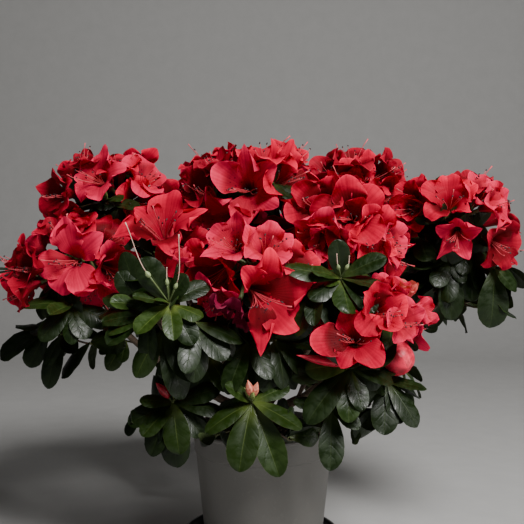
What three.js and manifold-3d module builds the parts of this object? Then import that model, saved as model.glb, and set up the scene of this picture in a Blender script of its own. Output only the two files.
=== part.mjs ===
// A potted azalea in full flower: a plastic pot on its saucer, a root ball, a short stem,
// its boughs, and the masses of blossom and leaf that the boughs carry.
// Millimetres, +Z up. The origin lies under the pot's axis, on the saucer's flat underside.
// +X is the plant's right and -Y its front, so the wings of the crown spread along X.
import * as THREE from "three";
import { mergeVertices } from "three/addons/utils/BufferGeometryUtils.js";
import Module from "manifold-3d";

const wasm = await Module();
wasm.setup();

// ---------- driving dimensions ----------
const GAP = 0.3; // air between pieces that touch on the real plant

const SAUCER = {
  width: 146,
  height: 24,
  foot: 116, // width of its flat underside
  floor: 2.5,
  wall: 1.8,
  lip: 1.6,
  shift: -3, // the pot stands a little off the saucer's centre
  rounds: 32,
};

const POT = {
  width: 130, // over the rim
  base: 104,
  height: 120.5,
  wall: 1.6,
  floor: 2.2,
  collar: 20.5, // depth of the plain band below the rim
  step: 0.7, // how far the collar stands proud of the wall
  lip: 2.6, // thickness of the rounded rim
  rounds: 32,
  drains: 4,
  drainWidth: 9,
  drainRing: 34, // radius on which the drain holes lie
};

const SOIL = { belowRim: 9, heave: 2.2, rounds: 24 };

const STEM = { radius: 9, flare: 3.6, height: 24, sides: 12, steps: 5 };

const BOUGH = { sides: 7, steps: 5, rise: 0.3, spread: 0.55 };

const MASS = { unevenness: 0.13, clearance: 0.5, detail: 2, lowest: 3 };

// ---------- places worked out from the sizes ----------
const potFoot = SAUCER.floor + GAP;
const rimTop = potFoot + POT.height;
const soilTop = rimTop - SOIL.belowRim;
const stemFoot = soilTop + GAP + SOIL.heave;
const forkTop = stemFoot + STEM.height;

// Each mass of the crown: the turn round the stem in degrees (0 is the right, 90 the back), its
// reach from the stem's axis, the height of its middle, its half width and its height over width.
const masses = {
  centre_top: { turn: 180, reach: 15, height: 331, size: 59, tall: 0.8, slot: "petals" },
  centre_front: { turn: 264, reach: 88, height: 250, size: 49, tall: 1.0, slot: "petals" },
  left_mid: { turn: 206, reach: 92, height: 305, size: 38, tall: 0.85, slot: "petals" },
  upper_left: { turn: 169, reach: 148, height: 337, size: 55, tall: 0.66, slot: "petals" },
  left_wing: { turn: 193, reach: 172, height: 261, size: 50, tall: 0.98, slot: "petals" },
  left_back: { turn: 165, reach: 188, height: 272, size: 44, tall: 0.95, slot: "petals" },
  right_mid: { turn: 325, reach: 86, height: 303, size: 50, tall: 0.8, slot: "petals" },
  upper_right: { turn: 29, reach: 101, height: 343, size: 45, tall: 0.76, slot: "petals" },
  right_wing: { turn: 0, reach: 176, height: 308, size: 59, tall: 0.68, slot: "petals" },
  right_front: { turn: 311, reach: 130, height: 224, size: 47, tall: 0.85, slot: "petals" },
  back_top: { turn: 97, reach: 76, height: 335, size: 55, tall: 0.8, slot: "petals" },
  back_left: { turn: 137, reach: 146, height: 300, size: 54, tall: 0.85, slot: "petals" },
  back_right: { turn: 47, reach: 150, height: 297, size: 54, tall: 0.85, slot: "petals" },
  back: { turn: 91, reach: 146, height: 274, size: 55, tall: 0.85, slot: "petals" },
  left_shoot: { turn: 235, reach: 120, height: 252, size: 42, tall: 0.9, slot: "leaves" },
  left_skirt: { turn: 187, reach: 172, height: 202, size: 42, tall: 0.75, slot: "leaves" },
  left_drape: { turn: 231, reach: 102, height: 200, size: 33, tall: 1.0, slot: "leaves" },
  right_shoot: { turn: 302, reach: 112, height: 262, size: 38, tall: 0.72, slot: "leaves" },
  right_skirt: { turn: 358, reach: 180, height: 258, size: 52, tall: 0.7, slot: "leaves" },
  right_drape: { turn: 321, reach: 124, height: 178, size: 34, tall: 0.85, slot: "leaves" },
  right_back: { turn: 24, reach: 174, height: 244, size: 44, tall: 0.85, slot: "leaves" },
  low_left: { turn: 228, reach: 114, height: 150, size: 32, tall: 1.1, slot: "leaves" },
  low_front: { turn: 265, reach: 104, height: 152, size: 40, tall: 0.95, slot: "leaves" },
  low_right: { turn: 302, reach: 106, height: 160, size: 33, tall: 1.05, slot: "leaves" },
  back_drape: { turn: 92, reach: 144, height: 208, size: 44, tall: 0.8, slot: "leaves" },
  back_left_drape: { turn: 131, reach: 152, height: 216, size: 46, tall: 0.85, slot: "leaves" },
  back_right_drape: { turn: 48, reach: 150, height: 216, size: 46, tall: 0.85, slot: "leaves" },
  low_back_left: { turn: 133, reach: 112, height: 156, size: 36, tall: 1.05, slot: "leaves" },
  low_back_right: { turn: 55, reach: 112, height: 156, size: 36, tall: 1.05, slot: "leaves" },
};

// Each bough: the mass it carries, what it grows from (the stem, or another bough), how far up
// that it starts, and its radius where it starts and where it ends.
const boughs = {
  left: { carries: "left_wing", from: "stem", at: 0.55, radii: [4.4, 1.9] },
  upper_left: { carries: "upper_left", from: "left", at: 0.3, radii: [3.2, 1.7] },
  left_back: { carries: "left_back", from: "left", at: 0.5, radii: [2.6, 1.5] },
  left_front: { carries: "left_shoot", from: "stem", at: 0.75, radii: [3.6, 1.7] },
  left_mid: { carries: "left_mid", from: "left_front", at: 0.35, radii: [2.6, 1.5] },
  front: { carries: "centre_front", from: "stem", at: 0.8, radii: [3.4, 1.7] },
  right_front: { carries: "right_front", from: "stem", at: 0.6, radii: [4.0, 1.8] },
  right_mid: { carries: "right_mid", from: "right_front", at: 0.3, radii: [3.0, 1.6] },
  right: { carries: "right_skirt", from: "stem", at: 0.7, radii: [4.4, 1.9] },
  upper_right: { carries: "upper_right", from: "right", at: 0.3, radii: [3.2, 1.7] },
  top: { carries: "centre_top", from: "stem", at: 1.0, radii: [4.2, 2.0] },
  top_back: { carries: "back_top", from: "top", at: 0.35, radii: [2.8, 1.6] },
  back: { carries: "back", from: "stem", at: 0.6, radii: [4.0, 1.8] },
  back_left: { carries: "back_left", from: "stem", at: 0.8, radii: [3.6, 1.8] },
  back_right: { carries: "back_right", from: "stem", at: 0.8, radii: [3.6, 1.8] },
  low_left: { carries: "low_left", from: "stem", at: 0.3, radii: [2.6, 1.5] },
  low_front: { carries: "low_front", from: "stem", at: 0.3, radii: [2.6, 1.5] },
  low_right: { carries: "low_right", from: "stem", at: 0.3, radii: [2.6, 1.5] },
  low_back_left: { carries: "low_back_left", from: "stem", at: 0.25, radii: [2.6, 1.5] },
  low_back_right: { carries: "low_back_right", from: "stem", at: 0.25, radii: [2.6, 1.5] },
};

// ---------- materials ----------
const finish = (color, roughness) => () => new THREE.MeshStandardMaterial({ color, roughness, metalness: 0 });
const finishes = {
  saucer: finish(0x111214, 0.45),
  pot: finish(0x6f6c66, 0.6),
  soil: finish(0x3a2a1e, 0.95),
  bark: finish(0x5b4434, 0.85),
  petals: finish(0xd8324a, 0.6),
  leaves: finish(0x1f3a1c, 0.45),
};

// ---------- helpers ----------
const place = (turn, reach, height) => {
  const angle = THREE.MathUtils.degToRad(turn);
  return new THREE.Vector3(reach * Math.cos(angle), reach * Math.sin(angle), height);
};

// Leaves only the positions, with the vertices that faces share made one.
function bareGeometry(geometry) {
  const bare = geometry.clone();
  for (const name of ["normal", "uv"]) bare.deleteAttribute(name);
  return mergeVertices(bare, 1e-4);
}

function toSolid(geometry) {
  const bare = bareGeometry(geometry);
  const vertProperties = new Float32Array(bare.attributes.position.array);
  const triVerts = new Uint32Array(bare.index.array);
  return new wasm.Manifold(new wasm.Mesh({ numProp: 3, vertProperties, triVerts }));
}

function toGeometry(solid) {
  const { vertProperties, triVerts } = solid.getMesh();
  const geometry = new THREE.BufferGeometry();
  geometry.setAttribute("position", new THREE.BufferAttribute(vertProperties, 3));
  geometry.setIndex(new THREE.BufferAttribute(triVerts, 1));
  geometry.computeVertexNormals();
  return geometry;
}

const largestPiece = (solid) => solid.decompose().reduce((a, b) => (b.volume() > a.volume() ? b : a));

// Turns a profile of [radius, height] points round the Z axis.
function turned(profile, rounds) {
  const points = profile.map(([radius, height]) => new THREE.Vector2(radius, height));
  return new THREE.LatheGeometry(points, rounds).rotateX(Math.PI / 2);
}

// Points on a rounded edge, from one angle to another round its centre.
function rounded([x, y], radius, from, to, steps) {
  return Array.from({ length: steps + 1 }, (_, i) => {
    const angle = THREE.MathUtils.degToRad(from + ((to - from) * i) / steps);
    return [x + radius * Math.cos(angle), y + radius * Math.sin(angle)];
  });
}

// ---------- saucer and pot ----------
function saucerGeometry() {
  const { width, height, foot, floor, wall, lip, rounds } = SAUCER;
  const rim = width / 2 - lip;
  const wallTop = height - lip;
  const profile = [
    [0, 0],
    [foot / 2, 0],
    [foot / 2 + 2, 1],
    [rim + lip - wall, wallTop],
    ...rounded([rim, wallTop], lip, 0, 180, 4),
    [foot / 2 + 2 - wall, floor + 2],
    [foot / 2 - wall - 1, floor],
    [0, floor],
  ];
  return turned(profile, rounds);
}

// Outer radius of the pot's wall below its collar, at a height above its foot.
const potRadius = (height) => POT.base / 2 + ((POT.width - POT.base) / 2 - POT.step) * (height / POT.height);

function potSolid() {
  const { base, height, wall, floor, collar, step, lip, rounds } = POT;
  const lipRadius = lip / 2;
  const rim = POT.width / 2 - lipRadius;
  const collarFoot = height - collar;
  const profile = [
    [0, 0],
    [base / 2 - 1.5, 0],
    [base / 2, 1.5],
    [potRadius(collarFoot - step), collarFoot - step],
    [potRadius(collarFoot) + step, collarFoot],
    [rim + lipRadius - 0.4, height - lip * 1.6],
    ...rounded([rim, height - lipRadius], lipRadius, -20, 180, 5),
    [potRadius(height) - wall, height - lip * 1.6],
    [potRadius(floor) - wall, floor],
    [0, floor],
  ];
  let pot = toSolid(turned(profile, rounds));
  for (let i = 0; i < POT.drains; i++) {
    const hole = new THREE.CylinderGeometry(POT.drainWidth / 2, POT.drainWidth / 2, 4 * floor, 10);
    const { x, y } = place(45 + (360 * i) / POT.drains, POT.drainRing, 0);
    pot = pot.subtract(toSolid(hole.rotateX(Math.PI / 2).translate(x, y, 0)));
  }
  return pot;
}

// ---------- root ball and stem ----------
function soilGeometry() {
  const bottom = potFoot + POT.floor + GAP;
  const side = (height) => potRadius(height - potFoot) - POT.wall - 2 * GAP;
  const rings = [0, 0.3, 0.6, 0.85].map((share) => [share * side(soilTop), soilTop]);
  const profile = [[0, bottom], [side(bottom), bottom], [side(soilTop - 3), soilTop - 3], ...rings.reverse()];
  const geometry = turned(profile, SOIL.rounds);
  const position = geometry.attributes.position;
  for (let i = 0; i < position.count; i++) {
    if (Math.abs(position.getZ(i) - soilTop) > 0.01) continue;
    const [x, y] = [position.getX(i) / 11, position.getY(i) / 9];
    position.setZ(i, soilTop + (SOIL.heave / 2) * (Math.sin(x + 1.7 * Math.cos(y)) + Math.cos(1.3 * y - x)));
  }
  return geometry;
}

// A tapering cylinder bent along a curve. The radius is a function of the share of the length.
function limbGeometry(curve, radius, sides, steps) {
  const geometry = new THREE.CylinderGeometry(1, 1, 1, sides, steps);
  const frames = curve.computeFrenetFrames(steps);
  const position = geometry.attributes.position;
  for (let i = 0; i < position.count; i++) {
    const share = position.getY(i) + 0.5;
    const step = Math.round(share * steps);
    const [across, along] = [position.getX(i), -position.getZ(i)].map((v) => v * radius(share));
    const point = curve.getPointAt(share);
    point.addScaledVector(frames.normals[step], across).addScaledVector(frames.binormals[step], along);
    position.setXYZ(i, point.x, point.y, point.z);
  }
  return geometry;
}

const upright = (from, to) => new THREE.LineCurve3(new THREE.Vector3(0, 0, from), new THREE.Vector3(0, 0, to));
const stemCurve = upright(stemFoot, forkTop);

// The stem's foot flares out, and stands flat on the root ball. A swell makes it bigger all round.
function stemGeometry(swell = 0) {
  const radius = (share) => STEM.radius + swell + STEM.flare * (1 - share) ** 3;
  return limbGeometry(upright(stemFoot - swell, forkTop + swell), radius, STEM.sides, STEM.steps);
}

// ---------- boughs ----------
const curves = { stem: stemCurve };

// A bough leaves its parent on the side of its mass, runs outward and arches up into it.
function boughCurve({ carries, from, at }) {
  const { turn, reach, height } = masses[carries];
  const start = curves[from].getPointAt(Math.min(at, 0.95));
  const end = place(turn, reach, height);
  const bend = start.clone().lerp(end, BOUGH.spread);
  bend.z = THREE.MathUtils.lerp(start.z, end.z, BOUGH.rise);
  return new THREE.QuadraticBezierCurve3(start, bend, end);
}

function boughSolid(name, swell = 0) {
  const { radii } = boughs[name];
  const radius = (share) => THREE.MathUtils.lerp(radii[0], radii[1], share) + swell;
  return toSolid(limbGeometry(curves[name], radius, BOUGH.sides, BOUGH.steps));
}

// ---------- masses of the crown ----------
const middles = Object.values(masses).map(({ turn, reach, height }) => place(turn, reach, height));
const halfSizes = Object.values(masses).map(({ size, tall }) => new THREE.Vector3(size, size, size * tall));

// How far a mass's plain ellipsoid reaches from its middle along a direction.
const reachAlong = (direction, half) =>
  1 / Math.hypot(direction.x / half.x, direction.y / half.y, direction.z / half.z);

// Uneven lumps, different for each mass, as a factor near 1.
function lumps(direction, index) {
  const { x, y, z } = direction;
  const broad = Math.sin(2.3 * x + index) + Math.sin(2.9 * y + 2.1 * index) + Math.sin(2.6 * z + 0.7 * index);
  const fine = Math.sin(5.1 * x - 4.3 * z + 1.9 * index) * Math.cos(4.7 * y + index);
  return 1 + MASS.unevenness * (0.45 * broad + 0.55 * fine);
}

// The planes that part a mass from each neighbour near enough to meet it.
function partings(index) {
  const found = [];
  middles.forEach((other, j) => {
    const normal = other.clone().sub(middles[index]);
    const distance = normal.length();
    normal.normalize();
    const [mine, its] = [reachAlong(normal, halfSizes[index]), reachAlong(normal, halfSizes[j])];
    if (j === index || distance > 1.5 * (mine + its)) return;
    found.push({ normal, limit: (distance * mine) / (mine + its) - MASS.clearance / 2 });
  });
  const lowest = rimTop + MASS.lowest;
  found.push({ normal: new THREE.Vector3(0, 0, -1), limit: middles[index].z - lowest });
  return found;
}

// swell is how far each point is pushed out from the mass's middle.
function massGeometry(index, swell = 0) {
  const geometry = bareGeometry(new THREE.IcosahedronGeometry(1, MASS.detail));
  const position = geometry.attributes.position;
  const walls = partings(index);
  const direction = new THREE.Vector3();
  for (let i = 0; i < position.count; i++) {
    direction.fromBufferAttribute(position, i).normalize();
    let reach = reachAlong(direction, halfSizes[index]) * lumps(direction, index);
    for (const { normal, limit } of walls) {
      const slope = direction.dot(normal);
      if (slope * reach > limit) reach = limit / slope;
    }
    direction.multiplyScalar(reach + swell).add(middles[index]);
    position.setXYZ(i, direction.x, direction.y, direction.z);
  }
  return geometry;
}

// ---------- the plant ----------
const plant = new THREE.Group();

function add(name, slot, geometry, [x, z] = [0, 0]) {
  const mesh = new THREE.Mesh(geometry, finishes[slot]());
  mesh.name = name;
  mesh.position.set(x, 0, z);
  plant.add(mesh);
}

add("saucer", "saucer", saucerGeometry(), [SAUCER.shift, 0]);
add("pot", "pot", toGeometry(potSolid()), [0, potFoot]);
add("root_ball", "soil", soilGeometry());
add("stem", "bark", stemGeometry());

const names = Object.keys(masses);
names.forEach((name, index) => add(`mass_${name}`, masses[name].slot, massGeometry(index)));

// A bough is cut back from the stem, from the boughs before it and from every mass, with a thin gap.
const masked = names.map((_, index) => toSolid(massGeometry(index, 2 * GAP)));
const cutters = [toSolid(stemGeometry(GAP)), ...masked];
for (const [name, bough] of Object.entries(boughs)) {
  curves[name] = boughCurve(bough);
  let limb = boughSolid(name);
  for (const cutter of cutters) limb = limb.subtract(cutter);
  add(`bough_${name}`, "bark", toGeometry(largestPiece(limb)));
  cutters.push(boughSolid(name, GAP));
}

export default plant;
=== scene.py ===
# %% [markdown]
# # A potted azalea in full flower
#
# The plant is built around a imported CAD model, which is loaded first and never moved. The CAD holds the true
# sizes: pot, saucer, root ball, stem, boughs, and one plain closed solid for every mass of blossom or leaves.
# Each mass is then replaced by what really grows there. Shoots run out from the boughs, leaves stand in
# whorls round their tips, and ruffled flowers crowd over them, some of them semi-double.

# %% Load the frame and the tools
import math

import bpy
import numpy as np
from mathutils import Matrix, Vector, noise
from mathutils.bvhtree import BVHTree


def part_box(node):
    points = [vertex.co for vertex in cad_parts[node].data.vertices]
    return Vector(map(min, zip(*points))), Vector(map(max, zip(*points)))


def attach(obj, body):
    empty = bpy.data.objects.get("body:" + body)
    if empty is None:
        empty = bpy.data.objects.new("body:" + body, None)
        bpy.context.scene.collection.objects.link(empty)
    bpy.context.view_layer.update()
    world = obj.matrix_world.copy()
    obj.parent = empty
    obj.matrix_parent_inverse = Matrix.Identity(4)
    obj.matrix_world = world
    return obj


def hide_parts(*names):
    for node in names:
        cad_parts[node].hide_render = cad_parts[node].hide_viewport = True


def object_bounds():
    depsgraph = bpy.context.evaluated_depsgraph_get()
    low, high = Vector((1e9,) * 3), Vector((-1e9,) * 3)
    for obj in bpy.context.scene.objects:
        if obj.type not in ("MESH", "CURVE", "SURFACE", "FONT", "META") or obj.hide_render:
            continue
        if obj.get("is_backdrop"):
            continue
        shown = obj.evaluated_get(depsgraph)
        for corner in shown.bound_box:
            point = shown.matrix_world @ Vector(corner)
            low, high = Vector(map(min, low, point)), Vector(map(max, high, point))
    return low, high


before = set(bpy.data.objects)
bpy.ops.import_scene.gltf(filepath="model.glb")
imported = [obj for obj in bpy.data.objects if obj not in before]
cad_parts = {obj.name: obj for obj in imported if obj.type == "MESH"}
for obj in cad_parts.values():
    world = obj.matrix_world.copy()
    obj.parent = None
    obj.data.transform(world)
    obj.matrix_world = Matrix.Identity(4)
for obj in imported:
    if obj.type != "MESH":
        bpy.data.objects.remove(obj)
cad_low, cad_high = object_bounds()
print("CAD box, mm:", [round(1000 * side) for side in cad_high - cad_low])

# %% [markdown]
# ## Words used throughout
#
# Lengths are metres, as in the frame, so a size in millimetres is written as a number times `MM`. A direction
# is given by its turn from the plant's right (+X) towards its back (+Y), and its lift above the level. `SKEW`
# is a direction that nothing follows closely, so sideways directions can be worked out from it.

# %% Directions and easing
MM = 0.001
UP = np.array([0.0, 0.0, 1.0])
SKEW = np.array([0.31, 0.52, 0.79])
GOLDEN_TURN = math.pi * (3 - math.sqrt(5))


def heading(turn, lift):
    """The unit vector with this turn and lift, in degrees."""
    turn, lift = np.radians(turn), np.radians(lift)
    parts = np.broadcast_arrays(np.cos(turn) * np.cos(lift), np.sin(turn) * np.cos(lift), np.sin(lift))
    return np.stack(parts, axis=-1)


def unit(vectors):
    """The same directions with length one."""
    return vectors / np.maximum(np.linalg.norm(vectors, axis=-1, keepdims=True), 1e-12)


def ease(share):
    """Goes smoothly from 0 to 1 as share does."""
    share = np.clip(share, 0, 1)
    return share * share * (3 - 2 * share)


def squared_to(vectors, axis):
    """The part of each vector that stands square to its axis, as a unit vector."""
    return unit(vectors - (vectors * axis).sum(-1, keepdims=True) * axis)


def square_pair(way):
    """Two directions that stand square to this one and to each other."""
    first = squared_to(SKEW, way)
    return first, np.cross(way, first)


# %% [markdown]
# ## Camera, light and floor
#
# The camera stands in front of the plant, level with its upper flowers and 75 cm from its middle, and looks
# down a little. One large soft light from the front right acts as a window. A weak one reaches the left side,
# and another one the pot from low on the right. The floor is a plain pale sweep that curves up behind the
# plant, so no horizon shows.

# %% Camera
EYE = Vector((-1.4, -750, 309)) * MM
LOOK_DOWN = math.radians(2.71)
SENSOR = 36.0
LENS = 56.58

camera = bpy.data.objects.new("camera", bpy.data.cameras.new("camera"))
camera.data.sensor_width = SENSOR
camera.data.lens = LENS
camera.data.clip_start = 0.01
camera.data.clip_end = 20
camera.location = EYE
camera.rotation_euler = (math.pi / 2 - LOOK_DOWN, 0, 0)
bpy.context.scene.collection.objects.link(camera)
bpy.context.scene.camera = camera
print("lens, mm:", round(camera.data.lens, 1))

# %% Soft lights
def softbox(name, place, aim, size, power, colour):
    """A square lamp with soft edges to its shadows, turned towards a point."""
    lamp = bpy.data.objects.new(name, bpy.data.lights.new(name, "AREA"))
    lamp.data.shape = "SQUARE"
    lamp.data.size = size
    lamp.data.energy = power
    lamp.data.color = colour
    lamp.location = place
    lamp.rotation_euler = (Vector(aim) - Vector(place)).to_track_quat("-Z", "Y").to_euler()
    bpy.context.scene.collection.objects.link(lamp)
    print(name, "watts:", power)


CROWN_MIDDLE = (0, 0.02, 0.24)
POT_MIDDLE = (0, 0, 0.08)
softbox("window_light", (0.56, -1.00, 1.40), CROWN_MIDDLE, 0.56, 52, (1.0, 0.985, 0.975))
softbox("fill_light", (-1.0, -1.1, 0.9), CROWN_MIDDLE, 1.2, 1.3, (1.0, 0.98, 0.95))
softbox("low_light", (0.95, -0.42, 0.26), POT_MIDDLE, 0.45, 2.6, (1.0, 0.985, 0.96))

world = bpy.data.worlds.new("soft_room")
world.use_nodes = True
room_light = world.node_tree.nodes["Background"].inputs
room_light["Color"].default_value = (0.90, 0.91, 0.93, 1)
room_light["Strength"].default_value = 0.022
bpy.context.scene.world = world

# %% [markdown]
# ## Tools for materials
#
# A material is a small graph of nodes. `Graph` makes a node, sets its plain values and plugs in its links in
# one call. Three effects are used by several finishes, so each is a node group with named sockets: a fine
# grain, dust with water marks, and the veins of a leaf or a petal.

# %% A helper that wires nodes
class Graph:
    """Adds nodes to a tree, each with its settings and inputs in one call."""

    def __init__(self, tree):
        self.tree = tree

    def feed(self, made, inputs):
        """Links each input to another node's output, or sets its plain value. A colour is opaque."""
        for name, value in inputs.items():
            socket = made.inputs[name]
            if isinstance(value, bpy.types.NodeSocket):
                self.tree.links.new(value, socket)
            else:
                socket.default_value = (*value, 1) if socket.type == "RGBA" else value

    def node(self, kind, inputs=None, **settings):
        """Places a node, and gives it back."""
        made = self.tree.nodes.new(kind)
        for name, value in settings.items():
            setattr(made, name, value)
        self.feed(made, inputs or {})
        return made

    def use(self, group, **inputs):
        """Places a node group, and gives its outputs."""
        return self.node("ShaderNodeGroup", inputs, node_tree=group).outputs

    def math(self, operation, first, second=0.0):
        """The output of a sum on two values."""
        return self.node("ShaderNodeMath", {0: first, 1: second}, operation=operation).outputs[0]

    def times(self, first, second):
        """The product of two values."""
        return self.math("MULTIPLY", first, second)

    def mix(self, share, first, second):
        """Goes from the first colour to the second."""
        return self.node("ShaderNodeMix", {0: share, 6: first, 7: second}, data_type="RGBA").outputs[2]

    def spread(self, value, low, high, bottom=0.0, top=1.0):
        """Maps low..high to bottom..top, smoothly and clamped."""
        span = {0: value, 1: low, 2: high, 3: bottom, 4: top}
        return self.node("ShaderNodeMapRange", span, interpolation_type="SMOOTHSTEP").outputs[0]

    def bump(self, height, strength, distance):
        """A normal that follows a height."""
        relief = {"Height": height, "Strength": strength, "Distance": distance}
        return self.node("ShaderNodeBump", relief).outputs["Normal"]

    def on_object(self):
        """The place on the object, in metres."""
        return self.node("ShaderNodeTexCoord").outputs["Object"]

    def on_map(self):
        """The place on the piece's own map."""
        return self.node("ShaderNodeUVMap", uv_map="OFBake").outputs["UV"]


FLOAT, VECTOR = "NodeSocketFloat", "NodeSocketVector"


def new_group(name, inputs, outputs):
    """An empty node group with these sockets: its graph, what it is given, and the node it gives out by."""
    group = bpy.data.node_groups.new(name, "ShaderNodeTree")
    for label, kind, value in inputs:
        socket = group.interface.new_socket(label, in_out="INPUT", socket_type=kind)
        if value is not None:
            socket.default_value = value
    for label, kind in outputs:
        group.interface.new_socket(label, in_out="OUTPUT", socket_type=kind)
    graph = Graph(group)
    return graph, graph.node("NodeGroupInput").outputs, graph.node("NodeGroupOutput")


def new_material(name):
    """A material with one Principled shader, its graph and that shader."""
    material = bpy.data.materials.new(name)
    material.use_nodes = True
    return material, Graph(material.node_tree), material.node_tree.nodes["Principled BSDF"]


def shade(colour, by):
    """A colour made darker or lighter."""
    return tuple(by * part for part in colour)


# %% Group: fine grain
g, given, out = new_group(
    "fine_grain",
    [("Place", VECTOR, None), ("Scale", FLOAT, 400.0), ("Roughness", FLOAT, 0.6)],
    [("Grain", FLOAT)],
)
grain_group = g.tree
grain_noise = g.node("ShaderNodeTexNoise", {
    "Vector": given["Place"], "Scale": given["Scale"], "Detail": 4.0, "Roughness": given["Roughness"],
})
g.feed(out, {"Grain": grain_noise.outputs["Fac"]})


def grain(g, place, scale, roughness):
    """Places the fine grain in a material."""
    return g.use(grain_group, Place=place, Scale=scale, Roughness=roughness)["Grain"]


def mottled(g, mask, dark, light):
    """Two colours in soft patches."""
    return g.mix(g.spread(mask, 0.35, 0.65), dark, light)


# %% Group: soft dust and water marks
g, given, out = new_group(
    "dust_and_marks",
    [("Place", VECTOR, None), ("Scale", FLOAT, 20.0), ("Amount", FLOAT, 0.5)],
    [("Dust", FLOAT)],
)
dust_group = g.tree
dust_cloud = g.node("ShaderNodeTexNoise", {
    "Vector": given["Place"], "Scale": given["Scale"], "Detail": 6.0, "Roughness": 0.65,
})
dust_specks = g.node("ShaderNodeTexNoise", {
    "Vector": given["Place"], "Scale": g.times(given["Scale"], 22.0), "Detail": 2.0,
})
dust_soft = g.spread(dust_cloud.outputs["Fac"], 0.45, 0.75)
dust_fine = g.spread(dust_specks.outputs["Fac"], 0.60, 0.72)
dust_sum = g.math("ADD", dust_soft, g.times(dust_fine, 0.6))
dust = g.node("ShaderNodeMath", {0: dust_sum, 1: given["Amount"]}, operation="MULTIPLY", use_clamp=True)
g.feed(out, {"Dust": dust.outputs[0]})

# %% Group: blade veins, for leaves and petals
# The blade's own coordinates run 0 to 1 across and 0 to 1 along. Tiles of the map stand side by side, so
# the place across is found from the remainder.
TILES = 4
g, given, out = new_group(
    "blade_veins",
    [("Slant", FLOAT, 0.35), ("Count", FLOAT, 8.0), ("Width", FLOAT, 0.1), ("Midrib", FLOAT, 0.05)],
    [("Veins", FLOAT), ("Midrib", FLOAT), ("Across", FLOAT), ("Along", FLOAT), ("Tile", FLOAT),
     ("Place", VECTOR)],
)
vein_group = g.tree
blade = g.on_map()
blade_parts = g.node("ShaderNodeSeparateXYZ", {"Vector": blade})
wide = g.times(blade_parts.outputs["X"], float(TILES))
tile = g.math("FLOOR", wide)
across = g.times(g.math("SUBTRACT", g.math("SUBTRACT", wide, tile), 0.5), 2.0)
aside = g.math("ABSOLUTE", across)
along = blade_parts.outputs["Y"]
wander = g.node("ShaderNodeTexNoise", {"Vector": blade, "Scale": 9.0, "Detail": 2.0})
bent = g.times(g.math("SUBTRACT", wander.outputs["Fac"], 0.5), 0.10)
slanted = g.math("SUBTRACT", g.math("ADD", along, bent), g.times(aside, given["Slant"]))
beat = g.math("FRACT", g.times(slanted, given["Count"]))
off_vein = g.math("ABSOLUTE", g.math("SUBTRACT", beat, 0.5))
g.feed(out, {
    "Veins": g.spread(off_vein, 0.0, given["Width"], 1.0, 0.0),
    "Midrib": g.spread(aside, 0.0, given["Midrib"], 1.0, 0.0),
    "Across": across, "Along": along, "Tile": tile, "Place": blade,
})
print("node groups:", [group.name for group in bpy.data.node_groups])

# %% Floor sweep
def sweep():
    """A floor that curves up into a wall behind the plant."""
    width, front, back, bend, top = 6.0, -3.0, 1.7, 0.6, 3.2
    arc_steps = 14
    arc = [(math.sin(a), 1 - math.cos(a)) for a in np.linspace(0.1, math.pi / 2, arc_steps)]
    profile = [(front, 0.0), (back - bend, 0.0)]
    profile += [(back - bend + bend * out, bend * up) for out, up in arc]
    profile.append((back, top))
    points = [(x, y, z) for y, z in profile for x in (-width / 2, width / 2)]
    faces = [(2 * i, 2 * i + 1, 2 * i + 3, 2 * i + 2) for i in range(len(profile) - 1)]
    mesh = bpy.data.meshes.new("floor")
    mesh.from_pydata(points, [], faces)
    mesh.polygons.foreach_set("use_smooth", [True] * len(faces))
    floor = bpy.data.objects.new("floor", mesh)
    bpy.context.scene.collection.objects.link(floor)
    return floor


floor = sweep()
floor_paint, g, shader = new_material("floor_paint")
floor_grain = grain(g, g.on_object(), 30.0, 0.6)
floor_colour = g.mix(floor_grain, (0.35, 0.348, 0.340), (0.41, 0.408, 0.398))
g.feed(shader, {"Base Color": floor_colour, "Roughness": 0.8})
floor.data.materials.append(floor_paint)
floor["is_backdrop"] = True

# %% [markdown]
# ## Tools for meshes
#
# Thousands of blades, tubes and crumbs share a few shapes. Each kind is worked out for all its members at
# once with numpy, and `Heap` gathers the points and the four-sided faces until a piece is made from them.
# The map named OFBake holds each blade's own coordinates, so a pattern follows the blade wherever it grows.

# %% Faces of grids and tubes
def grid_faces(rows, columns):
    """Faces of a grid, with rows and columns counted in faces."""
    row, column = np.mgrid[0:rows, 0:columns]
    first = (row * (columns + 1) + column).ravel()
    return np.stack([first, first + 1, first + columns + 2, first + columns + 1], axis=1)


def tube_faces(rings, sides):
    """Faces of a closed tube with an even number of sides, and a flat cap on each end."""
    ring, side = np.mgrid[0 : rings - 1, 0:sides]
    below, following = ring * sides, (side + 1) % sides
    above = below + sides
    wall = np.stack([below + side, below + following, above + following, above + side], axis=-1)
    wall = wall.reshape(-1, 4)
    step = np.arange(sides // 2 - 1)
    cap = np.stack([step, step + 1, sides - 2 - step, sides - 1 - step], axis=1)
    return np.concatenate([wall, cap[:, ::-1], cap + (rings - 1) * sides])


class Heap:
    """Points, faces and map places of many shapes that become one piece."""

    def __init__(self):
        self.points, self.faces, self.places, self.count = [], [], [], 0

    def add(self, points, faces, places):
        """Adds shapes of one kind: points are (shapes, points of each, 3)."""
        shapes, each = points.shape[:2]
        shifts = self.count + each * np.arange(shapes)
        self.points.append(points.reshape(-1, 3))
        self.faces.append((faces[None] + shifts[:, None, None]).reshape(-1, 4))
        self.places.append(np.broadcast_to(places, (shapes, each, 2)).reshape(-1, 2))
        self.count += shapes * each


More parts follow.
